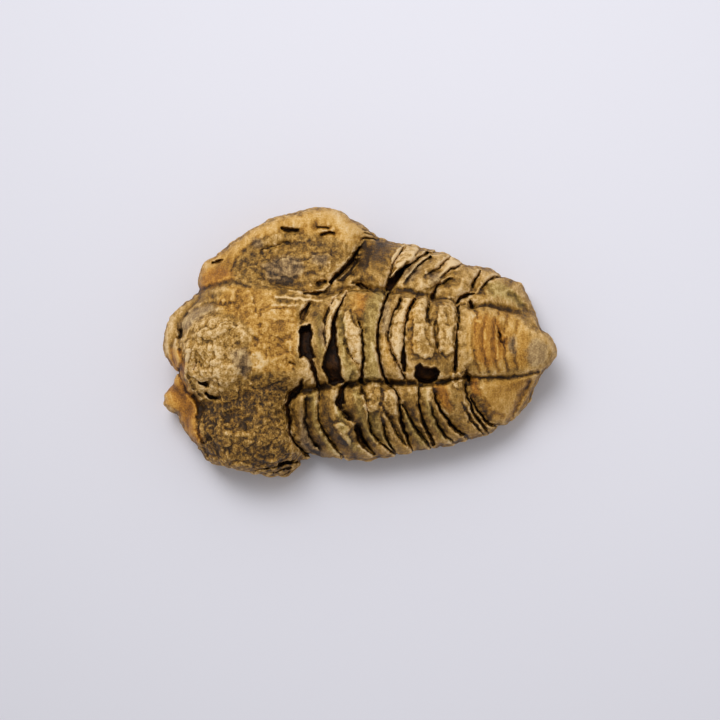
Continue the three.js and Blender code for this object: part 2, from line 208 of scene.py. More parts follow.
CAVITIES = [
    (3.8, [(299, 331), (301, 326), (306, 325.5), (311, 323.5), (313, 333), (311.5, 341), (313, 350),
           (315, 358),
           (309, 360), (304, 357), (300, 358.5), (298.5, 349), (300, 340)]),
    (3.8, [(331, 322), (336, 320), (337, 338), (338, 354), (341, 364), (342, 374), (345, 382),
           (339, 384),
           (334, 387), (328, 383), (327, 377), (321.5, 367), (323.5, 358), (327, 350), (330, 340)]),
    (3.4, [(414, 376), (415, 367), (419, 362), (423, 366), (428, 366.5), (436, 368), (440, 372),
           (438, 380),
           (430, 383), (418, 382)]),
    (3.4, [(385, 291), (388, 281), (395, 273), (401, 268), (406, 267), (403, 273), (399, 280),
           (395, 287), (390, 292)]),
    (2.8, [(292, 392), (296, 386), (303, 379), (304, 386), (301, 393), (296, 398), (290, 402)]),
    (2.2, [(336, 400), (338, 390), (344, 382), (348, 384), (344, 394), (345, 404), (338, 408)]),
    (1.8, [(354, 424), (360, 426), (364, 436), (370, 446), (376, 455), (368, 452), (360, 446),
           (355, 436)]),
]
HEAD_CLEFTS = [
    (2.0, [(282, 228, 1.4), (289, 230, 2.6), (298, 230.5, 1.4)]),
    (1.2, [(318, 227, 0.9), (328, 228, 1.1)]),
    (1.5, [(321, 234.5, 1), (328, 233, 1.7), (333, 233, 1.6)]),
    (1.8, [(212, 263, 1), (217, 261.5, 2), (222, 260, 1)]),
    (0.7, [(262, 250, 1), (278, 245, 1.4), (289, 242, 1)]),
    (0.7, [(181, 331, 1.6), (180.5, 336, 1.8)]),
    (1.4, [(200, 382, 1.6), (206, 384, 2.4)]),
    (1.7, [(206, 394, 2), (212, 397, 2.6), (216, 398, 1.6)]),
    (0.8, [(197, 362, 1), (195, 370, 1.3)]),
    (0.9, [(290, 363, 1.4), (293, 364, 1.4)]),
    (1.0, [(305, 293, 1.2), (316, 294, 1.8), (327, 291, 1)]),
    (1.2, [(319, 284, 2.5), (325, 282, 2.5)]),
    (0.5, [(203, 443, 0.9), (208, 440, 1.2), (215, 436, 0.9)]),
    (1.0, [(250, 470.5, 0.9), (268, 468, 1.2), (284, 463, 1.5), (297, 461, 1.2)]),
    (0.8, [(258, 474, 0.9), (276, 471, 1), (291, 467.5, 1)]),
    (0.7, [(268, 477, 0.8), (282, 474.5, 0.9), (292, 471.5, 0.8)]),
    (0.8, [(362, 238.5, 1.2), (370, 238, 1.2), (378, 240, 1)]),
    (0.6, [(364, 233, 0.9), (371, 234, 0.9), (377, 237, 0.8)]),
    (0.5, [(363, 229, 0.8), (369, 230.5, 0.8), (374, 233, 0.8)]),
]

# Soft furrows: depth in millimetres, then a course of (x, y, half width) in pixels
FURROWS = [
    (0.2, [(231, 272, 1), (236, 258, 1.2), (249, 246, 1.2), (264, 238.5, 1.2), (281, 231, 1)]),
    (0.35, [(198, 291, 2.5), (214, 286, 3), (232, 281, 2.5), (250, 287, 1)]),
    (1.3, [(296, 392, 3), (312, 389, 3), (333, 385, 3), (350, 384, 3), (365, 381, 3), (382, 382, 3),
           (400, 383, 3), (420, 383, 3), (448, 381, 2.6), (461, 378, 1.4), (470, 377, 0.6)]),
    (0.6, [(320, 297, 3), (345, 289, 3), (368, 289, 3), (385, 290, 3), (408, 291, 3), (430, 298, 3),
           (455, 302, 3), (470, 307, 2)]),
    (0.35, [(474, 308, 2), (490, 306, 2.6), (505, 308, 3), (517, 312, 3), (525, 318, 2.6),
            (532, 327, 2)]),
    (0.6, [(466, 377, 1.2), (486, 377.5, 1.2), (510, 377, 1.2), (527, 375, 1.2), (538, 372, 1.2)]),
    (0.3, [(218, 303, 3), (203, 308, 4), (190, 316, 4), (182, 326, 3.4), (180, 338, 3), (180, 350, 3)]),
    (0.5, [(180, 350, 1.6), (182, 362, 1.8), (180, 374, 1.8), (187, 392, 1.8), (199, 403, 1.8)]),
    (0.7, [(194, 396, 2), (200, 408, 2.4), (198, 420, 2.2), (199, 434, 1.6), (202, 441, 1)]),
    (0.3, [(509, 294, 2.2), (517, 299, 2.4), (524, 308, 2.4), (530, 318, 2.4), (536, 328, 2)]),
    (0.45, [(529, 382, 2.4), (521.5, 395, 2.6), (515, 409, 2.6), (509, 421, 2.2)]),
    (0.25, [(477, 313, 1.2), (473.5, 328, 1.5), (473, 345, 1.7), (475, 360, 1.4), (479, 371, 1)]),
    (0.22, [(487, 312, 1), (484, 326, 1.2), (482.5, 343, 1.6), (484.5, 358, 1.4), (489, 371, 1.2)]),
    (0.25, [(498, 313, 1.2), (494, 328, 1.6), (493.5, 344, 1.3), (495, 360, 1.2), (499, 371, 1)]),
    (0.2, [(508, 317, 1), (505, 331, 1.4), (503.5, 346, 1.5), (505, 360, 1.1), (508, 370, 1)]),
    (0.16, [(517, 322, 1), (514.5, 335, 1.2), (514, 348, 1.3), (515.5, 360, 1), (518, 368, 0.8)]),
]

# Thin raised ridges: height in millimetres, then a course of (x, y, half width) in pixels
RIDGES = [
    (0.5, [(189, 350, 1.4), (186, 364, 1.6), (185, 377, 1.6), (191, 390, 1.6), (202, 399, 1.4)]),
    (0.35, [(276, 297, 1.2), (299, 298, 1.4), (321, 300.5, 1.2)]),
    (0.3, [(272, 304.5, 1), (296, 305, 1.2)]),
    (0.3, [(289, 290, 1), (303, 292.5, 1.2), (313, 294.5, 1)]),
]

# Faces of the head and thin raised plates of the thorax: corners in pixels
WORN_FACE = [
    (232, 268), (238, 257), (250, 247), (264, 240), (280, 233), (296, 233), (315, 238), (335, 240),
    (348, 247), (352, 256), (345, 266), (335, 276), (328, 284), (318, 288), (305, 292), (285, 291),
    (262, 288), (245, 284), (233, 278),
]
HEAD_DOME = [
    (184, 338), (191, 326), (206, 316), (225, 315), (240, 322), (247, 335), (243, 352), (238, 366),
    (240, 374), (232, 386), (220, 392), (206, 399), (195, 393), (187, 379), (188, 362), (183, 347),
]
PALE_PLATES = [
    [(331, 305), (337, 299), (340, 302), (336, 311), (332, 319), (330, 330), (330.5, 340), (327, 349),
     (325.5, 338), (325.5, 322)],
    [(344, 312), (348, 309), (352, 319), (355, 325), (360, 330), (361.5, 345), (361, 355), (361.5, 364),
     (359.5, 367), (355, 360), (350, 354), (347, 345), (344.5, 335), (343.5, 322)],
    [(402, 298), (410, 297), (412, 300), (408.5, 307), (406, 315), (403.5, 322), (402.5, 332),
     (402.5, 345), (401, 354), (398.5, 360), (395, 355), (391.5, 346), (390.5, 336), (392, 326),
     (395, 316), (401, 308)],
    [(416, 301), (425, 297), (427, 304), (426, 322), (433, 326), (434, 340), (435, 350), (432, 358),
     (422, 357), (414, 352), (412, 340), (414, 325), (412, 312)],
    [(366, 386), (372, 382), (380, 384), (381, 392), (380, 400), (378, 410), (372, 413), (366, 410),
     (363, 405), (367.5, 400), (365.5, 392)],
    [(383, 391), (390, 390), (396, 396), (398, 405), (397, 414), (392, 416), (386, 411), (382.5, 405),
     (383.5, 397)],
    [(391, 259), (397, 250), (404, 245), (415, 245), (419, 249), (413, 258), (405, 263), (398, 268),
     (391, 267)],
    [(452, 373), (460, 372), (464, 379), (463, 388), (456, 388), (451, 381)],
    [(333, 424), (342, 422), (350, 428), (347, 434), (351, 445), (345, 440), (338, 433)],
    [(439, 305), (450, 302), (456, 308), (455, 325), (453, 337), (454, 350), (446, 356), (439, 350),
     (438, 338), (437, 320)],
]
PALE_PLATE_HEIGHT = 0.4

# Soft swells and hollows: height in millimetres, softness of the edge and corners in pixels
SWELLS = [
    (-0.2, 6.0, WORN_FACE),
    (0.25, 3.0, HEAD_DOME),
    (0.4, 3.5, [(193, 322), (208, 317), (226, 320), (228, 332), (212, 338), (196, 336)]),
    (0.35, 3.0, [(200, 346), (214, 342), (226, 350), (222, 364), (206, 366), (198, 358)]),
    (0.4, 2.5, [(214, 368), (230, 363), (240, 370), (234, 382), (220, 386), (212, 378)]),
    (-0.4, 4.0, [(228, 330), (240, 334), (242, 350), (234, 358), (228, 346)]),
    (0.5, 3.0, [(210, 290), (222, 285), (236, 290), (234, 300), (218, 303)]),
    (0.5, 4.0, [(240, 436), (258, 422), (282, 422), (286, 438), (264, 446), (246, 446)]),
    (0.5, 4.0, [(252, 396), (270, 388), (284, 394), (282, 408), (264, 414), (252, 408)]),
    (-0.7, 4.0, [(222, 416), (236, 410), (250, 416), (246, 430), (230, 432)]),
    (-0.5, 3.0, [(248, 378), (262, 374), (264, 384), (252, 388)]),
    (-0.6, 4.0, [(200, 402), (212, 400), (216, 424), (206, 432), (199, 420)]),
    (-0.5, 4.0, [(202, 446), (222, 440), (232, 452), (220, 460), (206, 456)]),
    (0.35, 3.0, [(262, 312), (290, 310), (294, 330), (280, 338), (262, 332)]),
    (-0.3, 3.0, [(252, 336), (276, 340), (290, 352), (272, 358), (254, 350)]),
    (0.3, 3.0, [(280, 256), (310, 252), (322, 264), (300, 276), (282, 270)]),
    (-0.3, 3.0, [(262, 268), (282, 274), (300, 284), (276, 286), (258, 280)]),
]

# Where each colour lies in the picture: corners in pixels
TAIL_AXIS = [(466, 310), (500, 309), (522, 320), (530, 332), (528, 366), (500, 373), (478, 370),
             (467, 350)]
NEAR_TAIL_FIELD = [(474, 384), (500, 380), (536, 376), (528, 398), (512, 420), (494, 420), (480, 400)]
OCHRE_PATCHES = [
    [(198, 292), (203, 262), (228, 248), (250, 231), (280, 218), (332, 207), (350, 219), (363, 230),
     (360, 243), (349, 246), (335, 238), (315, 235), (296, 231), (278, 232), (262, 239), (248, 247),
     (236, 258), (232, 270), (234, 280), (215, 286)],
    [(215, 303), (228, 286), (250, 287), (276, 291), (276, 303), (297, 308), (298, 345), (292, 372),
     (270, 372), (252, 372), (248, 350), (252, 330), (240, 318), (222, 312)],
    TAIL_AXIS,
    [(347, 293), (366, 293), (362, 318), (352, 312)],
    NEAR_TAIL_FIELD,
    [(382, 338), (390, 340), (391, 352), (396, 364), (388, 366), (383, 355)],
    [(410, 298), (418, 298), (414, 318), (407, 330), (407, 318)],
    [(408, 336), (416, 338), (417, 352), (409, 354)],
]
CHEEK_TIP = [(199, 291), (203, 270), (222, 266), (234, 276), (214, 285)]
RUST_PATCHES = [
    CHEEK_TIP,
    [(164, 404), (168, 385), (180, 372), (188, 388), (199, 402), (196, 425), (204, 440), (196, 444),
     (184, 428), (178, 411)],
    [(171, 348), (180, 350), (186, 364), (183, 378), (176, 372), (168, 358)],
    [(433, 386), (446, 384), (450, 400), (452, 410), (442, 408), (436, 398)],
    [(470, 379), (478, 379), (480, 395), (473, 396)],
    [(355, 294), (366, 294), (364, 312), (358, 314)],
    [(472, 320), (488, 314), (500, 322), (506, 340), (504, 358), (490, 366), (476, 360)],
]
PALE_PATCHES = PALE_PLATES + [
    [(276, 296), (300, 296), (321, 299), (320, 303), (298, 301), (276, 300)],
    [(272, 303), (296, 303), (296, 307), (272, 306)],
    [(287, 289), (305, 291), (314, 295), (300, 296), (288, 293)],
    [(425, 386), (430, 388), (432, 402), (436, 412), (431, 410), (426, 400)],
    [(250, 355), (262, 352), (268, 364), (258, 372), (250, 366)],
    [(440, 262), (452, 257), (462, 263), (452, 268), (446, 276), (440, 272)],
]
# Thin pale lines, partly the stone's own pale edges and threads and partly painted highlights along the
# ring edges: courses of (x, y, half width) in pixels
PALE_LINES_AND_HIGHLIGHTS = [
    [(309.5, 361, 0.6), (313, 372, 0.6), (317, 384, 0.6)],
    [(380, 360, 0.6), (383, 368, 0.6), (386.5, 378, 0.6)],
    [(388.5, 297, 0.7), (383.5, 306, 0.8), (381, 314, 0.6)],
    [(372, 344, 1.4), (375, 352, 1.6), (377, 360, 1)],
    [(396, 362, 0.6), (400, 370, 0.7), (404, 378, 0.6)],
    [(293, 426, 0.8), (296, 436, 1.2), (304, 446, 1), (314, 454, 0.7)],
    [(325, 432, 0.6), (331, 442, 0.7), (340, 453, 0.6)],
    [(318.6, 396, 0.6), (319, 412, 0.6)],
    [(335, 396, 1), (334, 404, 1), (338, 416, 0.8)],
    [(359, 446, 0.6), (366, 451, 0.7), (372, 455, 0.6)],
    [(384, 414, 0.7), (387, 426, 0.7), (392, 438, 0.6)],
    [(401, 394, 0.8), (402, 404, 0.9), (406, 412, 0.6)],
    [(438, 396, 0.6), (442, 406, 0.7), (450, 417, 0.6)],
    [(463, 392, 0.8), (466, 404, 0.9), (472, 416, 0.8), (480, 426, 0.6)],
    [(470, 312, 0.8), (474, 320, 0.9), (482, 323, 0.7)],
    [(349, 288, 1), (344, 296, 1), (341, 303, 0.8)],
    [(475, 314, 0.4), (473, 330, 0.5), (473.5, 348, 0.4)],
    [(486, 316, 0.4), (485, 330, 0.6), (484, 345, 0.6), (483, 362, 0.4)],
    [(497, 314, 0.4), (496, 328, 0.4), (497.5, 342, 0.5), (497, 360, 0.5)],
    [(506, 322, 0.4), (505, 340, 0.4), (506, 357, 0.4)],
    [(458, 300, 0.6), (464, 296, 0.7), (471, 293, 0.6)],
    [(424, 268, 0.8), (428, 276, 0.9), (430, 284, 0.7)],
    [(282, 286, 0.7), (300, 288.5, 0.8), (314, 285, 0.7)],
]

# More colours: corners in pixels
UMBER_PATCHES = [
    [(200, 402), (222, 396), (250, 388), (262, 378), (285, 378), (286, 392), (262, 398), (250, 412),
     (252, 424), (228, 430), (204, 440), (197, 425)],
    [(196, 446), (214, 437), (240, 446), (270, 440), (290, 448), (298, 458), (290, 475), (265, 476),
     (225, 465), (206, 460)],
    [(353, 244), (380, 239), (390, 246), (388, 262), (370, 268), (354, 268)],
    [(331, 284), (345, 268), (358, 250), (364, 246), (358, 264), (352, 282), (340, 286)],
    [(300, 402), (309, 402), (310, 434), (316, 446), (308, 446), (302, 428)],
    [(320, 392), (333, 392), (331, 410), (336, 430), (344, 452), (332, 446), (322, 426)],
    [(341, 384), (352, 386), (352, 402), (350, 420), (340, 412)],
    [(402, 392), (418, 390), (420, 408), (432, 444), (422, 440), (410, 420), (402, 406)],
    [(438, 404), (452, 420), (468, 436), (458, 436), (444, 422)],
    [(470, 398), (488, 398), (488, 414), (500, 426), (488, 426), (478, 414)],
    [(356, 424), (366, 434), (376, 452), (366, 452), (356, 440)],
]
MOSS_PATCHES = [
    [(363, 318), (368, 300), (378, 290), (388, 292), (380, 308), (376, 325), (376, 350), (380, 380),
     (364, 380)],
    [(337, 318), (341, 312), (345, 322), (345, 340), (349, 356), (358, 368), (358, 381), (346, 381),
     (341, 360)],
    [(317, 312), (322, 316), (322, 340), (324, 356), (319, 362), (316, 340)],
    [(308, 392), (317, 391), (317, 420), (330, 444), (340, 456), (328, 450), (314, 428)],
    [(335, 402), (342, 412), (350, 436), (362, 452), (352, 450), (340, 430)],
    [(353, 388), (361, 392), (366, 420), (378, 444), (368, 440), (356, 412)],
    [(366, 414), (378, 412), (384, 432), (394, 450), (380, 440), (370, 428)],
    [(404, 410), (414, 424), (430, 446), (420, 446), (406, 428)],
    [(424, 392), (432, 408), (444, 432), (452, 442), (440, 438), (426, 412)],
    [(484, 284), (500, 282), (516, 292), (526, 304), (520, 308), (506, 298), (490, 296)],
]
GREY_PATCHES = [
    [(177, 332), (180, 322), (190, 312), (200, 306), (212, 305), (218, 310), (206, 315), (194, 322),
     (187, 330)],
    [(262, 264), (285, 256), (300, 258), (304, 270), (290, 282), (268, 280)],
    [(312, 254), (330, 256), (326, 266), (312, 262)],
    [(230, 352), (247, 348), (252, 366), (246, 378), (236, 370)],
    [(381, 304), (390, 302), (391, 318), (389, 334), (382, 334)],
    [(403, 272), (412, 264), (424, 260), (420, 272), (410, 282), (403, 280)],
    [(428, 274), (440, 272), (440, 284), (432, 284)],
    [(509, 337), (514, 335), (517, 346), (515, 357), (510, 352)],
    [(528, 344), (538, 338), (548, 346), (546, 362), (534, 368), (526, 358)],
    [(252, 238), (262, 238), (263, 247), (254, 248)],
    [(322, 322), (325, 330), (326, 345), (322, 345), (319, 332)],
    [(300, 402), (312, 440), (330, 456), (318, 458), (300, 446)],
]

# Coarse, granular stone: corners in pixels, then how coarse each area is from 0 to 1
NEAR_CHEEK = [
    (198, 404), (222, 392), (250, 380), (288, 378), (288, 440), (300, 460), (290, 474), (225, 465),
    (205, 460), (196, 444),
]
NECK = [(215, 303), (250, 290), (297, 300), (297, 372), (250, 378), (240, 320)]
COARSE_AREAS = [
    (1.0, [NEAR_CHEEK]),
    (0.8, [HEAD_DOME]),
    (0.4, [NECK]),
    (0.4, [WORN_FACE]),
    (0.5, PALE_PLATES),
]
COARSE_EDGE = 8.0

# Areas that are only paler or darker: corners in pixels
# The near flank: partly darker stone, partly painted shade of the side turned from the light
NEAR_FLANK = [
    (290, 392), (312, 390), (350, 386), (400, 385), (448, 383), (468, 380), (478, 394), (500, 426),
    (470, 440), (395, 457), (320, 465), (300, 458), (288, 440),
]
AXIS_RINGS = [
    (306, 300), (345, 292), (390, 292), (440, 298), (462, 306), (462, 372), (448, 382), (400, 383),
    (350, 385), (312, 388),
]
FAR_BLOCK = [(352, 262), (360, 246), (380, 240), (391, 248), (389, 264), (384, 284), (364, 284),
             (353, 282)]
FIRST_RING = [(312, 312), (320, 306), (323, 316), (323, 340), (326, 360), (320, 382), (316, 360),
              (312, 340)]
SECOND_RING = [(337, 312), (342, 306), (346, 318), (346, 342), (352, 360), (358, 381), (345, 382),
               (340, 350)]
FAR_TAIL_FIELD = [(474, 296), (484, 284), (510, 284), (524, 296), (534, 318), (516, 308), (490, 300)]
BORDER_FRAGMENT = [(164, 404), (168, 385), (180, 372), (190, 390), (199, 404), (197, 444), (184, 428),
                   (178, 411)]
FRONT_ROLL = [(164, 345), (168, 320), (182, 306), (198, 298), (192, 312), (180, 324), (178, 346),
              (182, 364), (172, 358)]
KNOB = [(526, 340), (538, 332), (552, 342), (556, 352), (548, 366), (534, 370), (524, 362)]

# How much paler or darker each group of patches is, and how soft its edges are in pixels
TONES = [
    (-0.10, 6.0, [CHEEK_TIP]),
    (-0.18, 5.0, [KNOB]),
    (-0.06, 5.0, [TAIL_AXIS]),
    (0.35, 2.5, PALE_PATCHES),
    (-0.19, 4.0, [FAR_BLOCK]),
    (0.04, 3.0, [SECOND_RING]),
    (-0.10, 5.0, [NEAR_TAIL_FIELD]),
    (0.04, 5.0, [FAR_TAIL_FIELD]),
    (-0.08, 5.0, [BORDER_FRAGMENT]),
    (0.04, 4.0, [FRONT_ROLL]),
    (0.27, 8.0, [HEAD_DOME]),
    (-0.12, 4.0, UMBER_PATCHES),
    # Partly the near flank's own darker colour, partly painted shade of the side turned from the light
    (-0.21, 5.0, [NEAR_FLANK]),
    (-0.17, 3.0, [AXIS_RINGS]),
    (0.04, 5.0, [NEAR_CHEEK]),
    (0.08, 6.0, [NECK]),
    (-0.11, 3.0, [FIRST_RING]),
]
HUE_EDGE = 5.0
HUES = [("ochre", OCHRE_PATCHES), ("rust", RUST_PATCHES), ("moss", MOSS_PATCHES), ("grey", GREY_PATCHES)]


def smoothstep(low, high, value):
    t = np.clip((value - low) / (high - low), 0, 1)
    return t * t * (3 - 2 * t)


def smooth_min(a, b, width):
    """The lower of two fields, rounded where they meet."""
    h = np.clip(0.5 + 0.5 * (b - a) / width, 0, 1)
    return b + (a - b) * h - width * h * (1 - h)


def smooth_max(a, b, width):
    return -smooth_min(-a, -b, width)


# Random grain

LATTICE = 32


def value_noise(points, size, seed):
    """Smooth random values from -1 to 1 at points in space, with waves about one size long."""
    lattice = np.random.default_rng(seed).uniform(-1, 1, (LATTICE,) * 3).astype(np.float32)
    cell = points / size
    base = np.floor(cell).astype(np.int64)
    t = (cell - base).astype(np.float32)
    t = t * t * (3 - 2 * t)
    total = np.zeros(points.shape[:-1], np.float32)
    for corner in np.ndindex(2, 2, 2):
        weight = np.ones_like(total)
        for axis, step in enumerate(corner):
            weight *= t[..., axis] if step else 1 - t[..., axis]
        index = (base + np.array(corner)) % LATTICE
        total += weight * lattice[index[..., 0], index[..., 1], index[..., 2]]
    return total


def layered_noise(points, size, seed, layers=3):
    """Noise with finer and finer waves added at half the height."""
    total = 0
    for i in range(layers):
        total = total + value_noise(points, size / 2**i, seed + i) / 2**i
    return total


# The picture plane: maps of relief and colour, two samples to a pixel

MAP_LOW = np.array([150, 190])
MAP_HIGH = np.array([570, 490])
SAMPLES = 2
EDGE_WANDER = 0.8
EDGE_WANDER_SIZE = 5.0
EDGE_WANDER_SEEDS = (11, 23)
MAP_MARGIN = 1.001
STEP_REACH = 14.0
PATCH_REACH = 10.0


def picture_grid():
    """Pixel coordinates at every sample of a map, wandering a little so that no edge is straight."""
    xs = np.arange(MAP_LOW[0], MAP_HIGH[0], 1 / SAMPLES, dtype=np.float32)
    ys = np.arange(MAP_LOW[1], MAP_HIGH[1], 1 / SAMPLES, dtype=np.float32)
    plain_grid = np.stack(np.meshgrid(xs, ys), axis=-1)
    flat = np.concatenate([plain_grid, np.zeros_like(plain_grid[..., :1])], axis=-1)
    wander = [layered_noise(flat, EDGE_WANDER_SIZE, seed) for seed in EDGE_WANDER_SEEDS]
    return plain_grid + EDGE_WANDER * np.stack(wander, axis=-1)


def window(corners, margin):
    """The rows and columns of a map that lie near some points in the picture."""
    low = (np.min(corners, axis=0) - margin - MAP_LOW) * SAMPLES
    high = (np.max(corners, axis=0) + margin - MAP_LOW) * SAMPLES
    rows = slice(max(int(low[1]), 0), max(int(high[1]), 1))
    columns = slice(max(int(low[0]), 0), max(int(high[0]), 1))
    return rows, columns


def from_segment(offset, along_it):
    """How far along a segment the place nearest to each offset is, from 0 to 1, and the gap to it."""
    t = np.clip((offset @ along_it) / (along_it @ along_it), 0, 1)
    return t, np.linalg.norm(offset - t[..., None] * along_it, axis=-1)


def inside_course(grid, course):
    """How far inside a stroke each sample lies, in pixels, and whether it lies on the tail's side of it."""
    course = np.array(course, np.float32)
    near = window(course[:, :2], STEP_REACH)
    part = grid[near]
    best = np.full(part.shape[:-1], -np.inf, np.float32)
    tailward = np.zeros(part.shape[:-1], bool)
    for a, b in zip(course[:-1], course[1:]):
        along_it = b[:2] - a[:2]
        offset = part - a[:2]
        t, gap = from_segment(offset, along_it)
        inside = a[2] + (b[2] - a[2]) * t - gap
        cross = along_it[0] * offset[..., 1] - along_it[1] * offset[..., 0]
        side = cross * np.sign(along_it[1]) < 0
        tailward = np.where(inside > best, side, tailward)
        best = np.maximum(best, inside)
    return near, best, tailward


def inside_patch(grid, corners):
    """How far inside a closed outline each sample lies, in pixels."""
    corners = np.array(corners, np.float32)
    near = window(corners, PATCH_REACH)
    part = grid[near]
    nearest = np.full(part.shape[:-1], np.inf, np.float32)
    inside = np.zeros(part.shape[:-1], bool)
    for a, b in zip(corners, np.roll(corners, -1, axis=0)):
        along_it = b - a
        nearest = np.minimum(nearest, from_segment(part - a, along_it)[1])
        crosses = (a[1] > part[..., 1]) != (b[1] > part[..., 1])
        if a[1] != b[1]:
            at = a[0] + (part[..., 1] - a[1]) / (b[1] - a[1]) * along_it[0]
            inside ^= crosses & (part[..., 0] < at)
    return near, np.where(inside, nearest, -nearest)


def seen_at(points):
    """Where points in millimetres show in the picture, in pixels."""
    offset = points - CAMERA_PLACE
    depth = -(offset @ CAMERA_BACK)
    scale = CAMERA_DISTANCE / PIXEL / depth
    across = PICTURE / 2 + scale * offset[..., 0]
    down = PICTURE / 2 - scale * (offset @ CAMERA_UP)
    return np.stack([across, down], axis=-1)


def sample(picture_map, seen):
    """Values of a map at places in the picture."""
    place = (seen - MAP_LOW) * SAMPLES
    limit = np.array(picture_map.shape[::-1]) - MAP_MARGIN
    place = np.clip(place, 0, limit)
    base = place.astype(np.int32)
    t = (place - base).astype(np.float32)
    x, y = base[..., 0], base[..., 1]
    top = picture_map[y, x] * (1 - t[..., 0]) + picture_map[y, x + 1] * t[..., 0]
    low = picture_map[y + 1, x] * (1 - t[..., 0]) + picture_map[y + 1, x + 1] * t[..., 0]
    return top * (1 - t[..., 1]) + low * t[..., 1]


# Body

LEAST_SLOPE = np.float32(1e-4)


def along(values, x):
    """A size along the body, through its values at the stations, without sharp bends."""
    fine = np.linspace(STATION_X[0], STATION_X[-1], STATION_STEPS)
    straight = np.interp(fine, STATION_X, values)
    kernel = np.hanning(2 * STATION_SMOOTHING + 1)
    padded = np.pad(straight, STATION_SMOOTHING, mode="reflect", reflect_type="odd")
    smooth = np.convolve(padded, kernel / kernel.sum(), mode="valid")
    return np.interp(x, fine, smooth).astype(np.float32)


def trunk_field(x, y, z):
    """Below zero inside the thorax and tail shield: an arched axis between two sloping flanks."""
    near = y < 0
    sweep = np.where(near, NEAR_SWEEP, FAR_SWEEP) * (1 - smoothstep(*SWEEP_FADES, x))
    station = x
    for _ in range(SWEEP_ROUNDS):
        inner = along(AXIS_HALF_WIDTH, station)
        outer = np.where(near, along(NEAR_HALF_WIDTH, station), along(FAR_HALF_WIDTH, station))
        share = np.clip((np.abs(y) - inner) / (outer - inner), 0, 1)
        station = x - sweep * share**2
    furrow = along(FURROW_HEIGHT, station)
    edge = along(EDGE_HEIGHT, station)
    arch = np.sqrt(np.clip(1 - (y / inner) ** 2, 0, 1))
    axis_top = furrow + (along(CREST_HEIGHT, station) - furrow) * arch
    fall = np.clip(1 - share**SHOULDER_POWER, 0, 1) ** (1 / FLANK_POWER)
    flank_top = edge + (furrow + SHOULDER_RISE * smoothstep(0, SHOULDER_WIDTH, share) - edge) * fall
    top = np.where(np.abs(y) < inner, axis_top, flank_top)
    top = top - END_SLOPE * np.clip(np.abs(y) - outer, 0, None)
    top = top - np.clip(x - TAIL_ROUNDS_FROM, 0, None) ** 2
    foot = edge * smoothstep(*FOOT_SHARES, np.abs(y) / outer)
    tail_foot = np.clip(TAIL_UNDERCUT * (x - TAIL_FOOT), 0, edge)
    low = np.maximum(np.maximum(foot, tail_foot), END_SLOPE * (TRUNK_FRONT - x))
    return np.maximum(z - top[..., None], low[..., None] - z)


def lump_field(place, centre, radii, turn):
    """Below zero inside an ellipsoid that is turned about Z."""
    c, s = np.cos(np.radians(turn)), np.sin(np.radians(turn))
    x, y, z = (p - np.float32(m) for p, m in zip(place, centre))
    local = (np.float32(c) * x + np.float32(s) * y, np.float32(c) * y - np.float32(s) * x, z)
    k0 = np.sqrt(sum((p / np.float32(r)) ** 2 for p, r in zip(local, radii)))
    k1 = np.sqrt(sum((p / np.float32(r * r)) ** 2 for p, r in zip(local, radii)))
    return k0 * (k0 - 1) / np.maximum(k1, LEAST_SLOPE)


def smooth_course(points, steps):
    """Points on a smooth curve through the given ones."""
    points = np.array(points, float)
    padded = np.vstack([2 * points[0] - points[1], points, 2 * points[-1] - points[-2]])
    made = []
    for a, b, c, d in zip(padded, padded[1:], padded[2:], padded[3:]):
        for t in np.arange(steps) / steps:
            bend = (2 * a - 5 * b + 4 * c - d) * t**2 + (3 * b - a - 3 * c + d) * t**3
            made.append(b + 0.5 * ((c - a) * t + bend))
    return np.array(made + [points[-1]])


def rim_field(place, course, radius):
    """Below zero inside a rounded rim that follows a course."""
    course = smooth_course(course, RIM_STEPS).astype(np.float32)
    best = None
    for a, b in zip(course[:-1], course[1:]):
        along_it = b - a
        offset = [p - m for p, m in zip(place, a)]
        t = sum(o * d for o, d in zip(offset, along_it)) / (along_it @ along_it)
        t = np.clip(t, 0, 1)
        gap = sum((o - t * d) ** 2 for o, d in zip(offset, along_it))
        best = gap if best is None else np.minimum(best, gap)
    return np.sqrt(best) - np.float32(radius)


def zero_surface(field):
    """Points, in voxels, and four-cornered faces of the surface where a field is zero."""
    volume = openvdb.FloatGrid(BACKGROUND)
    volume.copyFromArray(field.astype(np.float32))
    return volume.convertToQuads(0.0)


def redistance(field, band):
    """True distances to the surface where the field is zero, in millimetres, within a band of voxels."""
    points, quads = zero_surface(field)
    whole = openvdb.FloatGrid.createLevelSetFromPolygons(
        points, quads=quads, transform=openvdb.createLinearTransform(voxelSize=1.0), halfWidth=band
    )
    distance = np.zeros(field.shape, np.float32)
    whole.copyToArray(distance)
    return distance * np.float32(VOXEL)


def body_field(axes):
    """Distances to the smooth body, before the outline is trimmed and the relief is cut."""
    x, y, z = axes
    flat_x, flat_y = np.meshgrid(x, y, indexing="ij")
    field = redistance(trunk_field(flat_x, flat_y, z), NARROW_BAND)
    place = np.ix_(*axes)
    cheek = lump_field(place, *FAR_CHEEK)
    normal = np.array(WORN_FACE_NORMAL) / np.linalg.norm(WORN_FACE_NORMAL)
    face = sum((p - np.float32(c)) * np.float32(n) for p, c, n in zip(place, FAR_CHEEK[0], normal))
    field = smooth_min(field, smooth_max(cheek, face - WORN_FACE_OFFSET, LUMP_BLEND), LUMP_BLEND)
    for lump in LUMPS:
        field = smooth_min(field, lump_field(place, *lump), LUMP_BLEND)
    front = x < RIMS_END
    front_place = (place[0][front], *place[1:])
    for course, radius in [(FRONT_RIM, FRONT_RIM_RADIUS), (NEAR_RIM, NEAR_RIM_RADIUS)]:
        field[front] = smooth_min(field[front], rim_field(front_place, course, radius), RIM_BLEND)
    return field
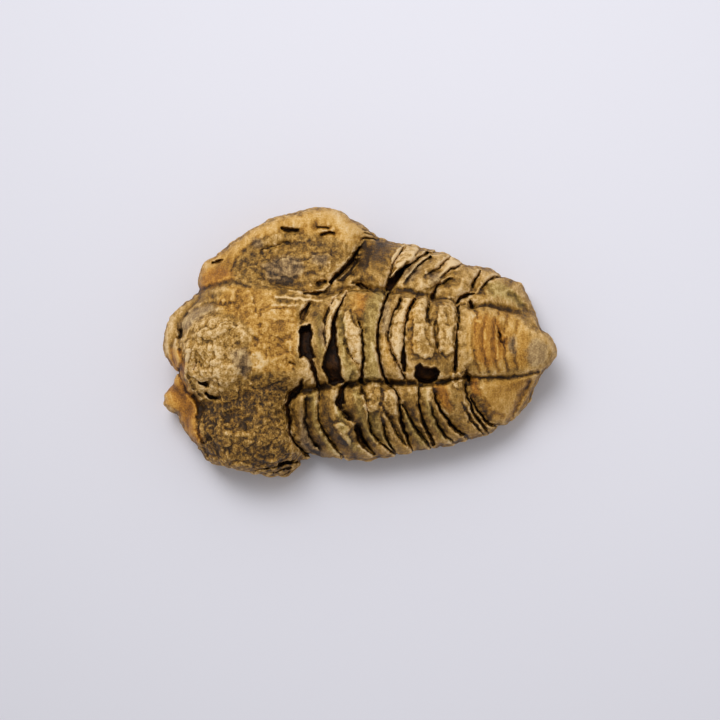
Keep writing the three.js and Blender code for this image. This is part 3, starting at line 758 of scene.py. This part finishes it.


# Relief

# Lips and steps beside the clefts, and painted shade on the tail's side of each step: lengths in
# millimetres, and shares from 0 to 1
LIP_DROP = 0.75
LIP_WIDTH = 0.75
AXIS_STEP = 0.4
AXIS_PAINTED_SHADE = 0.35
FLANK_STEP = 0.75
FLANK_PAINTED_SHADE = 1.0
LEAST_STEP = 0.06
STEP_WIDTH = 1.3
PAINTED_SHADE_WIDTH = 1.5
PAINTED_HIGHLIGHT_WIDTH = 0.28
RELIEF_STARTS = (0.8, 2.5)

# The deepest cut near the outline, as a polynomial of the pixels inside it
EDGE_CUT = (0.002, 0.06, 0.1)

# Pixels from the edge of a form over which it comes in
EDGE_FADE = (0.0, 20.0)
STEP_FADE = (STEP_REACH, 10.0)
PLATE_EDGE = (-0.5, 0.9)
FURROW_EDGE = (-2.5, 2.5)
RIDGE_EDGE = (-1.2, 1.2)
CAVITY_EDGE = (-0.4, 1.8)
CLEFT_EDGE = (-0.2, 1.4)
LINE_EDGE = (-0.8, 0.4)


def keep_highest(whole, near, values):
    """Raises part of a map to the given values where they are higher."""
    whole[near] = np.maximum(whole[near], values)


class Picture:
    """Maps over the picture plane: how the surface stands out, how deep it is cut, and its colours."""

    def __init__(self):
        self.grid = picture_grid()
        self.shape = self.grid.shape[:-1]
        self.inside = self.spread_patch(smooth_course(OUTLINE + OUTLINE[:1], OUTLINE_STEPS)[:-1])
        self.cut, self.relief, self.shelter, self.edge = np.zeros((4, *self.shape), np.float32)
        self.add_plates()
        self.add_strokes(FURROWS, FURROW_EDGE, -1)
        self.add_strokes(RIDGES, RIDGE_EDGE, 1)
        self.add_clefts(AXIS_CLEFTS, AXIS_STEP, AXIS_PAINTED_SHADE)
        self.add_clefts(FLANK_CLEFTS, FLANK_STEP, FLANK_PAINTED_SHADE)
        self.add_clefts(HEAD_CLEFTS, step_drop=0, sheltered=0)
        self.add_cavities()
        limit = np.polyval(EDGE_CUT, np.clip(self.inside, 0, None))
        self.cut = np.minimum(self.cut, limit)

    def spread_patch(self, corners):
        """How far inside an outline each sample lies, with far samples well outside."""
        whole = np.full(self.shape, -PATCH_REACH, np.float32)
        near, inside = inside_patch(self.grid, corners)
        whole[near] = inside
        return whole

    def add_plates(self):
        for height, soft, corners in SWELLS:
            near, inside = inside_patch(self.grid, corners)
            self.relief[near] += height * smoothstep(-soft, soft, inside)
        for corners in PALE_PLATES:
            near, inside = inside_patch(self.grid, corners)
            keep_highest(self.relief, near, PALE_PLATE_HEIGHT * smoothstep(*PLATE_EDGE, inside))

    def add_strokes(self, strokes, edge, sign):
        """Raises the surface along some courses, or lowers it where the sign is -1."""
        for height, course in strokes:
            near, inside, _ = inside_course(self.grid, course)
            self.relief[near] += sign * height * smoothstep(*edge, inside)

    def add_cavities(self):
        for deep, corners in CAVITIES:
            near, inside = inside_patch(self.grid, corners)
            keep_highest(self.cut, near, deep * smoothstep(*CAVITY_EDGE, inside))

    def add_clefts(self, clefts, step_drop, sheltered):
        """Cuts clefts, with the surface lower on the tail's side, where one plate lies under the next, and
        maps painted shade on that side of each step and painted highlights along the cleft edges.
        """
        lowered = np.zeros(self.shape, np.float32)
        for deep, course in clefts:
            near, inside, tailward = inside_course(self.grid, course)
            gap = np.clip(-inside, 0, None) * PIXEL
            keep_highest(self.cut, near, deep * smoothstep(*CLEFT_EDGE, inside))
            fade = smoothstep(*STEP_FADE, -inside)
            lip = LIP_DROP * np.exp(-gap / LIP_WIDTH)
            drop = lip + tailward * step_drop * np.exp(-gap / STEP_WIDTH)
            keep_highest(lowered, near, drop * fade)
            if step_drop:
                # Painted shade on the tail's side of the step, where the plate before it would shade it
                shelter = sheltered * tailward * np.exp(-gap / PAINTED_SHADE_WIDTH) * fade
                keep_highest(self.shelter, near, shelter)
                # Painted highlights along both edges of the cleft
                keep_highest(self.edge, near, np.exp(-gap / PAINTED_HIGHLIGHT_WIDTH))
        self.relief -= lowered * (LEAST_STEP + (1 - LEAST_STEP) * smoothstep(*EDGE_FADE, self.inside))

    def coarse(self):
        """How granular the stone is, from 0 to 1."""
        maps = [amount * self.patches(areas, COARSE_EDGE) for amount, areas in COARSE_AREAS]
        return np.max(maps, axis=0)

    def lines(self, courses):
        """A map that is 1 on some strokes and 0 away from them."""
        whole = np.zeros(self.shape, np.float32)
        for course in courses:
            near, inside, _ = inside_course(self.grid, course)
            keep_highest(whole, near, smoothstep(*LINE_EDGE, inside))
        return whole

    def patches(self, patches, softness):
        """A map that is 0.5 at the patches' edges, 1 well inside them and 0 well outside."""
        best = np.full(self.shape, -PATCH_REACH, np.float32)
        for corners in patches:
            near, inside = inside_patch(self.grid, corners)
            keep_highest(best, near, inside)
        return np.clip(0.5 + 0.5 * best / softness, 0, 1)


def stone_surface(picture):
    """The stone's vertices, in millimetres, and its four-cornered faces."""
    axes = [np.arange(low, high, VOXEL, dtype=np.float32) for low, high in zip(GRID_LOW, GRID_HIGH)]
    z = axes[2]
    seen = seen_at(np.stack(np.broadcast_arrays(*np.ix_(*axes)), axis=-1))
    outside = -sample(picture.inside, seen) * np.float32(PIXEL) - np.float32(OUTLINE_GROWTH)
    field = smooth_max(body_field(axes) - BODY_SWELL, outside, OUTLINE_BLEND)
    field = redistance(smooth_max(field, -z, FOOT_BLEND), WIDE_BAND)
    standing = smoothstep(*RELIEF_STARTS, z)
    height = np.maximum(picture.relief - picture.cut, -DEEPEST)
    field = field - sample(height, seen) * standing
    field = np.maximum(field, -z)
    points, quads = zero_surface(field)
    return points * VOXEL + GRID_LOW, quads


def largest_piece(points, faces):
    """Drops loose crumbs, keeping the piece with the most vertices."""
    label = np.arange(len(points))
    edges = np.concatenate([faces[:, [0, 1]], faces[:, [1, 2]], faces[:, [2, 3]]])
    while True:
        before = label
        low = np.minimum(label[edges[:, 0]], label[edges[:, 1]])
        label = label.copy()
        np.minimum.at(label, edges[:, 0], low)
        np.minimum.at(label, edges[:, 1], low)
        np.minimum.at(label, before[edges[:, 0]], low)
        np.minimum.at(label, before[edges[:, 1]], low)
        label = label[label]
        if np.array_equal(before, label):
            break
    keep = label == np.bincount(label).argmax()
    index = np.cumsum(keep) - 1
    return points[keep], index[faces[keep[faces[:, 0]]]]


def mesh_from(points, faces, name):
    mesh = bpy.data.meshes.new(name)
    mesh.from_pydata(points.tolist(), [], faces.tolist())
    mesh.update()
    return mesh


def thinned(mesh):
    """The mesh with fewer triangles where it is flat."""
    piece = bpy.data.objects.new("thinning", mesh)
    bpy.context.scene.collection.objects.link(piece)
    mesh.calc_loop_triangles()
    fewer = piece.modifiers.new("fewer", "DECIMATE")
    fewer.ratio = min(1.0, MOST_TRIANGLES / len(mesh.loop_triangles))
    made = bpy.data.meshes.new_from_object(piece.evaluated_get(bpy.context.evaluated_depsgraph_get()))
    bpy.data.objects.remove(piece)
    bpy.data.meshes.remove(mesh)
    return made


def rows_of_three(items, name):
    values = np.zeros(len(items) * 3, np.float32)
    items.foreach_get(name, values)
    return values.reshape(-1, 3)


def coordinates(mesh):
    return rows_of_three(mesh.vertices, "co")


def outward(mesh):
    """Unit normals at the vertices."""
    return rows_of_three(mesh.vertex_normals, "vector")


# Grain: heights in millimetres, and the size, seed and layers of each noise
COARSE_GRAIN = 0.46
FINE_GRAIN = 0.06
STEEP_GRAIN = 0.26
SHAPE_NOISE = (4.0, 41, 4)
CRAG_HEIGHT = 0.16
CRAG_NOISE = (1.4, 57, 3)
CRAG_GAIN = 2
CRAG_LEVEL = 0.7
STEEP_CRAGS = 0.6
FLAKE_HEIGHT = 0.4
FLAKE_NOISE = (3.4, 71, 3)
FLAKE_EDGE = (-0.12, 0.12)
STEEP_FACING = (0.05, 0.4)
RIM_INSIDE = (1.5, 6.0)
GRAIN_STARTS = (0.2, 1.5)


def roughen(mesh, picture):
    """Moves the vertices in and out by the stone's grain, more on coarse areas and steep outer walls."""
    points = coordinates(mesh)
    seen = seen_at(points)
    coarse = sample(picture.coarse(), seen)
    shape = layered_noise(points, *SHAPE_NOISE)
    crags = CRAG_GAIN * np.abs(layered_noise(points, *CRAG_NOISE)) - CRAG_LEVEL
    flakes = smoothstep(*FLAKE_EDGE, layered_noise(points, *FLAKE_NOISE)) - 0.5
    facing = np.abs(outward(mesh) @ CAMERA_BACK)
    rim = 1 - smoothstep(*RIM_INSIDE, sample(picture.inside, seen))
    steep = rim * (1 - smoothstep(*STEEP_FACING, facing))
    amount = FINE_GRAIN + (COARSE_GRAIN - FINE_GRAIN) * coarse + STEEP_GRAIN * steep
    craggy = np.maximum(coarse, STEEP_CRAGS * steep)
    move = amount * shape + CRAG_HEIGHT * craggy * crags + FLAKE_HEIGHT * coarse * flakes
    move *= smoothstep(*GRAIN_STARTS, points[:, 2])
    points += outward(mesh) * move[:, None]
    points[:, 2] = np.clip(points[:, 2], 0, None)
    mesh.vertices.foreach_set("co", points.ravel())
    mesh.update()


def standing_out(mesh, rounds):
    """How far each vertex stands out of its smoothed surroundings, in millimetres."""
    edges = np.zeros(len(mesh.edges) * 2, np.int32)
    mesh.edges.foreach_get("vertices", edges)
    a, b = edges.reshape(-1, 2).T
    count = np.bincount(a, minlength=len(mesh.vertices)) + np.bincount(b, minlength=len(mesh.vertices))
    points = coordinates(mesh)
    smooth = points.astype(np.float64)
    for _ in range(rounds):
        total = np.empty_like(smooth)
        for axis in range(3):
            total[:, axis] = np.bincount(a, smooth[b, axis], len(smooth))
            total[:, axis] += np.bincount(b, smooth[a, axis], len(smooth))
        smooth = total / count[:, None]
    return np.einsum("ij,ij->i", points - smooth, outward(mesh))


# Painted values: tones from 0 to 1, with painted shade on the tail's side of the steps; a depth in
# millimetres for painted shade in the clefts; and gains on what stands out, for wear on ridges and painted
# shade in hollows
BASE_TONE = 0.46
LINE_AND_HIGHLIGHT_TONE = 0.34
PAINTED_SHADE_TONE = 0.20
STRAY_OCHRE = 0.32
PAINTED_CLEFT_SHADE_DEPTH = 3.0
CRISP_GAIN = 6.0
BROAD_GAIN = 0.8
CRISP_ROUNDS = 2
BROAD_ROUNDS = 24


def paint(mesh, picture):
    """Stores where each colour lies, where shade and highlights are painted, and how far the stone stands
    out, for wear on ridges and painted shade in hollows, as values on the vertices.
    """
    seen = seen_at(coordinates(mesh))
    tone = np.zeros(picture.shape, np.float32)
    for lift, softness, patches in TONES:
        tone += lift * picture.patches(patches, softness)
    # Painted shade on the tail's side of each step
    tone -= PAINTED_SHADE_TONE * picture.shelter
    # Pale lines, partly painted highlights along the ring edges
    tone += LINE_AND_HIGHLIGHT_TONE * picture.lines(PALE_LINES_AND_HIGHLIGHTS)
    values = {name: sample(picture.patches(patches, HUE_EDGE), seen) for name, patches in HUES}
    values["ochre"] = np.maximum(values["ochre"], STRAY_OCHRE)
    values["tone"] = np.clip(BASE_TONE + sample(tone, seen), 0, 1)
    # Painted shade: dark brown down in the clefts and cavities, darker where they are cut deeper
    values["painted_cleft_shade"] = np.clip(sample(picture.cut, seen) / PAINTED_CLEFT_SHADE_DEPTH, 0, 1)
    # Painted highlights along the cleft edges
    values["edge"] = sample(picture.edge, seen)
    values["coarse"] = sample(picture.coarse(), seen)
    # Ridges are painted paler for wear, and hollows darker as painted shade
    values["crisp"] = np.clip(0.5 + CRISP_GAIN * standing_out(mesh, CRISP_ROUNDS), 0, 1)
    values["broad"] = np.clip(0.5 + BROAD_GAIN * standing_out(mesh, BROAD_ROUNDS), 0, 1)
    for name, value in values.items():
        mesh.attributes.new(name, "FLOAT", "POINT").data.foreach_set("value", value.astype(np.float32))


# Material

# Tones from dark to pale, from 0 to 255 on a screen, and where they stand on a ramp
RAMP_PLACES = (0.04, 0.24, 0.42, 0.58, 0.76, 1.0)
OLIVE_TONES = ((46, 29, 8), (90, 62, 21), (132, 96, 36), (164, 124, 55), (200, 160, 97), (230, 199, 150))
HUE_TONES = {
    "ochre": ((62, 38, 9), (116, 77, 22), (162, 113, 36), (191, 142, 60), (213, 169, 97), (232, 200, 148)),
    "rust": ((58, 32, 8), (110, 67, 16), (150, 96, 25), (178, 119, 37), (204, 148, 60), (224, 181, 104)),
    "moss": ((44, 31, 9), (86, 65, 24), (126, 98, 41), (157, 125, 58), (194, 163, 95), (225, 199, 148)),
    "grey": ((46, 33, 20), (90, 67, 41), (131, 102, 64), (161, 129, 84), (194, 162, 111), (221, 195, 146)),
}
# Painted shade for the clefts and cavities, dark brown
PAINTED_CLEFT_SHADE_TONES = ((36, 18, 4), (58, 31, 7), (78, 45, 11), (92, 56, 15), (108, 69, 22), (120, 81, 30))

# Noises: size in millimetres, detail, seed, then stretch and bend if any
CLOUDS = (5.0, 5.0, 1.0)
MOTTLE = (1.1, 6.0, 2.0)
SPECK = (0.3, 3.0, 3.0)
STREAK = (0.6, 4.0, 4.0, (1, 4, 4), 0.5)
CRUST = (0.8, 5.0, 6.0)
NOISE_ROUGHNESS = 0.6

# How much each thing changes the tone
CLOUD_AMOUNT = 0.5
MOTTLE_AMOUNT = 0.7
SPECK_AMOUNT = 1.3
STREAK_AMOUNT = 0.55
CRUST_AMOUNT = 0.22
# Ridges paler for wear and hollows darker as painted shade, less so on coarse stone
CRISP_AMOUNT = 0.65
BROAD_AMOUNT = 0.55
# Painted highlights flecked along the cleft edges
PAINTED_HIGHLIGHT_AMOUNT = 0.4
SMOOTH_CONTRAST = 0.65
COARSE_CONTRAST = 0.4
SMOOTH_CRUST = 0.25
COARSE_WEAR_AND_SHADE = -0.3
HUE_WANDER = 1.3

# Values between which each thing comes in
CRUST_RANGE = (0.0, 1.1)
PAINTED_HIGHLIGHT_RANGE = (0.4, 0.6)
HUE_RANGE = (0.2, 0.8)
PAINTED_CLEFT_SHADE_RANGE = (0.2, 0.75)

# Finish of the surface
STONE_SHEEN = 0.28
LEAST_ROUGHNESS = 0.3
ROUGHNESS_SPREAD = 0.5
BUMP_HEIGHT = 0.3
BUMP_STRENGTH = 0.85

# The mix node's sockets for colours
MIX_BELOW = 6
MIX_ABOVE = 7
MIX_RESULT = 2


def linear(colour):
    """A colour given as 0 to 255 on a screen, as the shader's red, green, blue and alpha."""
    share = np.array(colour) / 255
    return (*np.where(share < 0.04045, share / 12.92, ((share + 0.055) / 1.055) ** 2.4), 1.0)


class Tree:
    """Short calls for adding shader nodes."""

    def __init__(self, material):
        self.nodes = material.node_tree.nodes
        self.links = material.node_tree.links

    def add(self, kind, **settings):
        node = self.nodes.new(kind)
        for name, value in settings.items():
            setattr(node, name, value)
        return node

    def attribute(self, name):
        return self.add("ShaderNodeAttribute", attribute_name=name).outputs["Fac"]

    def noise(self, size, detail, seed, stretch=(1, 1, 1), bend=0.0, kind="FBM"):
        """Noise from 0 to 1 whose waves are about one size long, in millimetres."""
        place = self.add("ShaderNodeTexCoord").outputs["Object"]
        scaled = self.add("ShaderNodeMapping")
        scaled.inputs["Scale"].default_value = [1 / (size * MM * longer) for longer in stretch]
        self.links.new(place, scaled.inputs["Vector"])
        node = self.add("ShaderNodeTexNoise", noise_dimensions="4D", noise_type=kind)
        node.inputs["Scale"].default_value = 1.0
        node.inputs["Detail"].default_value = detail
        node.inputs["Roughness"].default_value = NOISE_ROUGHNESS
        node.inputs["W"].default_value = seed
        node.inputs["Distortion"].default_value = bend
        self.links.new(scaled.outputs["Vector"], node.inputs["Vector"])
        return node.outputs["Fac"]

    def math(self, operation, *values):
        node = self.add("ShaderNodeMath", operation=operation)
        for socket, value in zip(node.inputs, values):
            if isinstance(value, (int, float)):
                socket.default_value = value
            else:
                self.links.new(value, socket)
        return node.outputs[0]

    def swing(self, total, value, amount):
        """Adds a value's departure from a half, times an amount, to a total."""
        return self.math("MULTIPLY_ADD", self.math("SUBTRACT", value, 0.5), amount, total)

    def step(self, value, low, high):
        node = self.add("ShaderNodeMapRange", interpolation_type="SMOOTHSTEP")
        node.inputs["From Min"].default_value = low
        node.inputs["From Max"].default_value = high
        self.links.new(value, node.inputs["Value"])
        return node.outputs["Result"]

    def ramp(self, value, tones):
        """Colours from dark to pale along a value from 0 to 1."""
        node = self.add("ShaderNodeValToRGB")
        stops = node.color_ramp.elements
        while len(stops) < len(tones):
            stops.new(0.5)
        for stop, place, tone in zip(stops, RAMP_PLACES, tones):
            stop.position = place
            stop.color = linear(tone)
        self.links.new(value, node.inputs["Fac"])
        return node.outputs["Color"]

    def blend(self, share, below, above):
        node = self.add("ShaderNodeMix", data_type="RGBA")
        self.links.new(share, node.inputs["Factor"])
        self.links.new(below, node.inputs[MIX_BELOW])
        self.links.new(above, node.inputs[MIX_ABOVE])
        return node.outputs[MIX_RESULT]


def stone_grain(tree):
    """The fine noises that the stone's tone and bumps share: mottle, specks and crust."""
    mottle = tree.noise(*MOTTLE)
    speck = tree.noise(*SPECK)
    crust = tree.step(tree.noise(*CRUST, kind="RIDGED_MULTIFRACTAL"), *CRUST_RANGE)
    thick = tree.math("ADD", tree.attribute("coarse"), SMOOTH_CRUST)
    return mottle, speck, tree.math("MULTIPLY", tree.swing(0.0, crust, 1.0), thick)


def stone_tone(tree, mottle, speck, crust):
    """How pale the stone is: its painted tone, changed by grain, crust, streaks, wear on ridges with
    painted shade in hollows, and painted highlights flecked along the cleft edges.
    """
    coarse = tree.attribute("coarse")
    tone = tree.swing(tree.attribute("tone"), tree.noise(*CLOUDS), CLOUD_AMOUNT)
    grain = tree.swing(tree.swing(0.0, mottle, MOTTLE_AMOUNT), speck, SPECK_AMOUNT)
    contrast = tree.math("MULTIPLY_ADD", coarse, COARSE_CONTRAST, SMOOTH_CONTRAST)
    tone = tree.math("MULTIPLY_ADD", grain, contrast, tone)
    tone = tree.math("MULTIPLY_ADD", crust, CRUST_AMOUNT, tone)
    tone = tree.swing(tone, tree.noise(*STREAK), STREAK_AMOUNT)
    # Ridges paler for wear and hollows darker as painted shade
    wear_and_hollow_shade = tree.swing(0.0, tree.attribute("crisp"), CRISP_AMOUNT)
    wear_and_hollow_shade = tree.swing(wear_and_hollow_shade, tree.attribute("broad"), BROAD_AMOUNT)
    wear_and_shade_gain = tree.math("MULTIPLY_ADD", coarse, COARSE_WEAR_AND_SHADE, 1.0)
    tone = tree.math("MULTIPLY_ADD", wear_and_hollow_shade, wear_and_shade_gain, tone)
    # Painted highlights flecked along the cleft edges
    painted_highlights = tree.math("MULTIPLY", tree.attribute("edge"), tree.step(mottle, *PAINTED_HIGHLIGHT_RANGE))
    return tree.math("MULTIPLY_ADD", painted_highlights, PAINTED_HIGHLIGHT_AMOUNT, tone)


def stone_colour(tree, tone, mottle):
    """Olive stone with stains of other hues, and painted shade, a dark brown, down in the clefts and
    cavities.
    """
    colour = tree.ramp(tone, OLIVE_TONES)
    wander = tree.swing(0.0, mottle, HUE_WANDER)
    for name, tones in HUE_TONES.items():
        share = tree.step(tree.math("ADD", tree.attribute(name), wander), *HUE_RANGE)
        colour = tree.blend(share, colour, tree.ramp(tone, tones))
    # Painted shade in the clefts and cavities
    painted_cleft_shade = tree.step(tree.attribute("painted_cleft_shade"), *PAINTED_CLEFT_SHADE_RANGE)
    return tree.blend(painted_cleft_shade, colour, tree.ramp(tone, PAINTED_CLEFT_SHADE_TONES))


def stone_material():
    """Brown stone whose tone follows wear on ridges with painted shade in hollows, painted shade beside the
    steps, painted highlights at the cleft edges, and grain, with ochre, rusty and grey stains.
    """
    material = bpy.data.materials.new("worn_limestone")
    material.use_nodes = True
    tree = Tree(material)
    surface = tree.nodes["Principled BSDF"]
    mottle, speck, crust = stone_grain(tree)
    tone = stone_tone(tree, mottle, speck, crust)
    tree.links.new(stone_colour(tree, tone, mottle), surface.inputs["Base Color"])
    rough = tree.math("MULTIPLY_ADD", mottle, ROUGHNESS_SPREAD, LEAST_ROUGHNESS)
    tree.links.new(rough, surface.inputs["Roughness"])
    surface.inputs["Specular IOR Level"].default_value = STONE_SHEEN
    bump = tree.add("ShaderNodeBump")
    bump.inputs["Distance"].default_value = BUMP_HEIGHT * MM
    bump.inputs["Strength"].default_value = BUMP_STRENGTH
    height = tree.math("ADD", tree.math("ADD", mottle, speck), crust)
    tree.links.new(height, bump.inputs["Height"])
    tree.links.new(bump.outputs["Normal"], surface.inputs["Normal"])
    return material


def build_fossil():
    picture = Picture()
    points, faces = largest_piece(*stone_surface(picture))
    mesh = mesh_from(points, faces, "fossil")
    roughen(mesh, picture)
    mesh = thinned(mesh)
    paint(mesh, picture)
    mesh.transform(Matrix.Scale(MM, 4))
    mesh.shade_smooth()
    piece = bpy.data.objects.new("fossil", mesh)
    bpy.context.scene.collection.objects.link(piece)
    mesh.materials.clear()
    mesh.materials.append(stone_material())
    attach(piece, "root")
    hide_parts(NODE)


# Stage

FLOOR_SIZE = 3.0
FLOOR_COLOUR = (0.70, 0.70, 0.775, 1)
FLOOR_ROUGHNESS = 0.9
FLOOR_SHEEN = 0.1
SKY_COLOUR = (1.0, 0.985, 0.96, 1)
SKY_STRENGTH = 0.55
KEY_PLACE = (-0.11, 0.25, 0.48)
KEY_AIM = (0.02, 0.10, 0.0)
KEY_SIZE = 0.4
KEY_SPREAD = np.radians(50)
KEY_POWER = 0.36
NEAREST_SEEN = 0.01


def add_floor():
    half = FLOOR_SIZE / 2
    corners = [(-half, -half, 0), (half, -half, 0), (half, half, 0), (-half, half, 0)]
    mesh = bpy.data.meshes.new("floor")
    mesh.from_pydata(corners, [], [(0, 1, 2, 3)])
    floor = bpy.data.objects.new("floor", mesh)
    bpy.context.scene.collection.objects.link(floor)
    material = bpy.data.materials.new("pale_floor")
    material.use_nodes = True
    surface = material.node_tree.nodes["Principled BSDF"]
    surface.inputs["Base Color"].default_value = FLOOR_COLOUR
    surface.inputs["Roughness"].default_value = FLOOR_ROUGHNESS
    surface.inputs["Specular IOR Level"].default_value = FLOOR_SHEEN
    mesh.materials.append(material)


def add_lights():
    world = bpy.data.worlds.new("studio")
    world.use_nodes = True
    sky = world.node_tree.nodes["Background"]
    sky.inputs["Color"].default_value = SKY_COLOUR
    sky.inputs["Strength"].default_value = SKY_STRENGTH
    bpy.context.scene.world = world
    light = bpy.data.lights.new("key", "AREA")
    light.size = KEY_SIZE
    light.energy = KEY_POWER
    light.spread = KEY_SPREAD
    lamp = bpy.data.objects.new("key", light)
    lamp.location = KEY_PLACE
    lamp.rotation_euler = (Vector(KEY_AIM) - Vector(KEY_PLACE)).to_track_quat("-Z", "Y").to_euler()
    bpy.context.scene.collection.objects.link(lamp)


def add_camera():
    data = bpy.data.cameras.new("camera")
    data.sensor_fit = "HORIZONTAL"
    data.angle = 2 * np.arctan(PICTURE * PIXEL / 2 / CAMERA_DISTANCE)
    data.clip_start = NEAREST_SEEN
    camera = bpy.data.objects.new("camera", data)
    right = np.array([1.0, 0, 0])
    turn = Matrix(np.column_stack([right, CAMERA_UP, CAMERA_BACK]).tolist()).to_4x4()
    camera.matrix_world = Matrix.Translation(Vector(CAMERA_PLACE * MM)) @ turn
    bpy.context.scene.collection.objects.link(camera)
    bpy.context.scene.camera = camera
    bpy.context.scene.view_settings.view_transform = "Standard"


build_fossil()
add_floor()
add_lights()
add_camera()
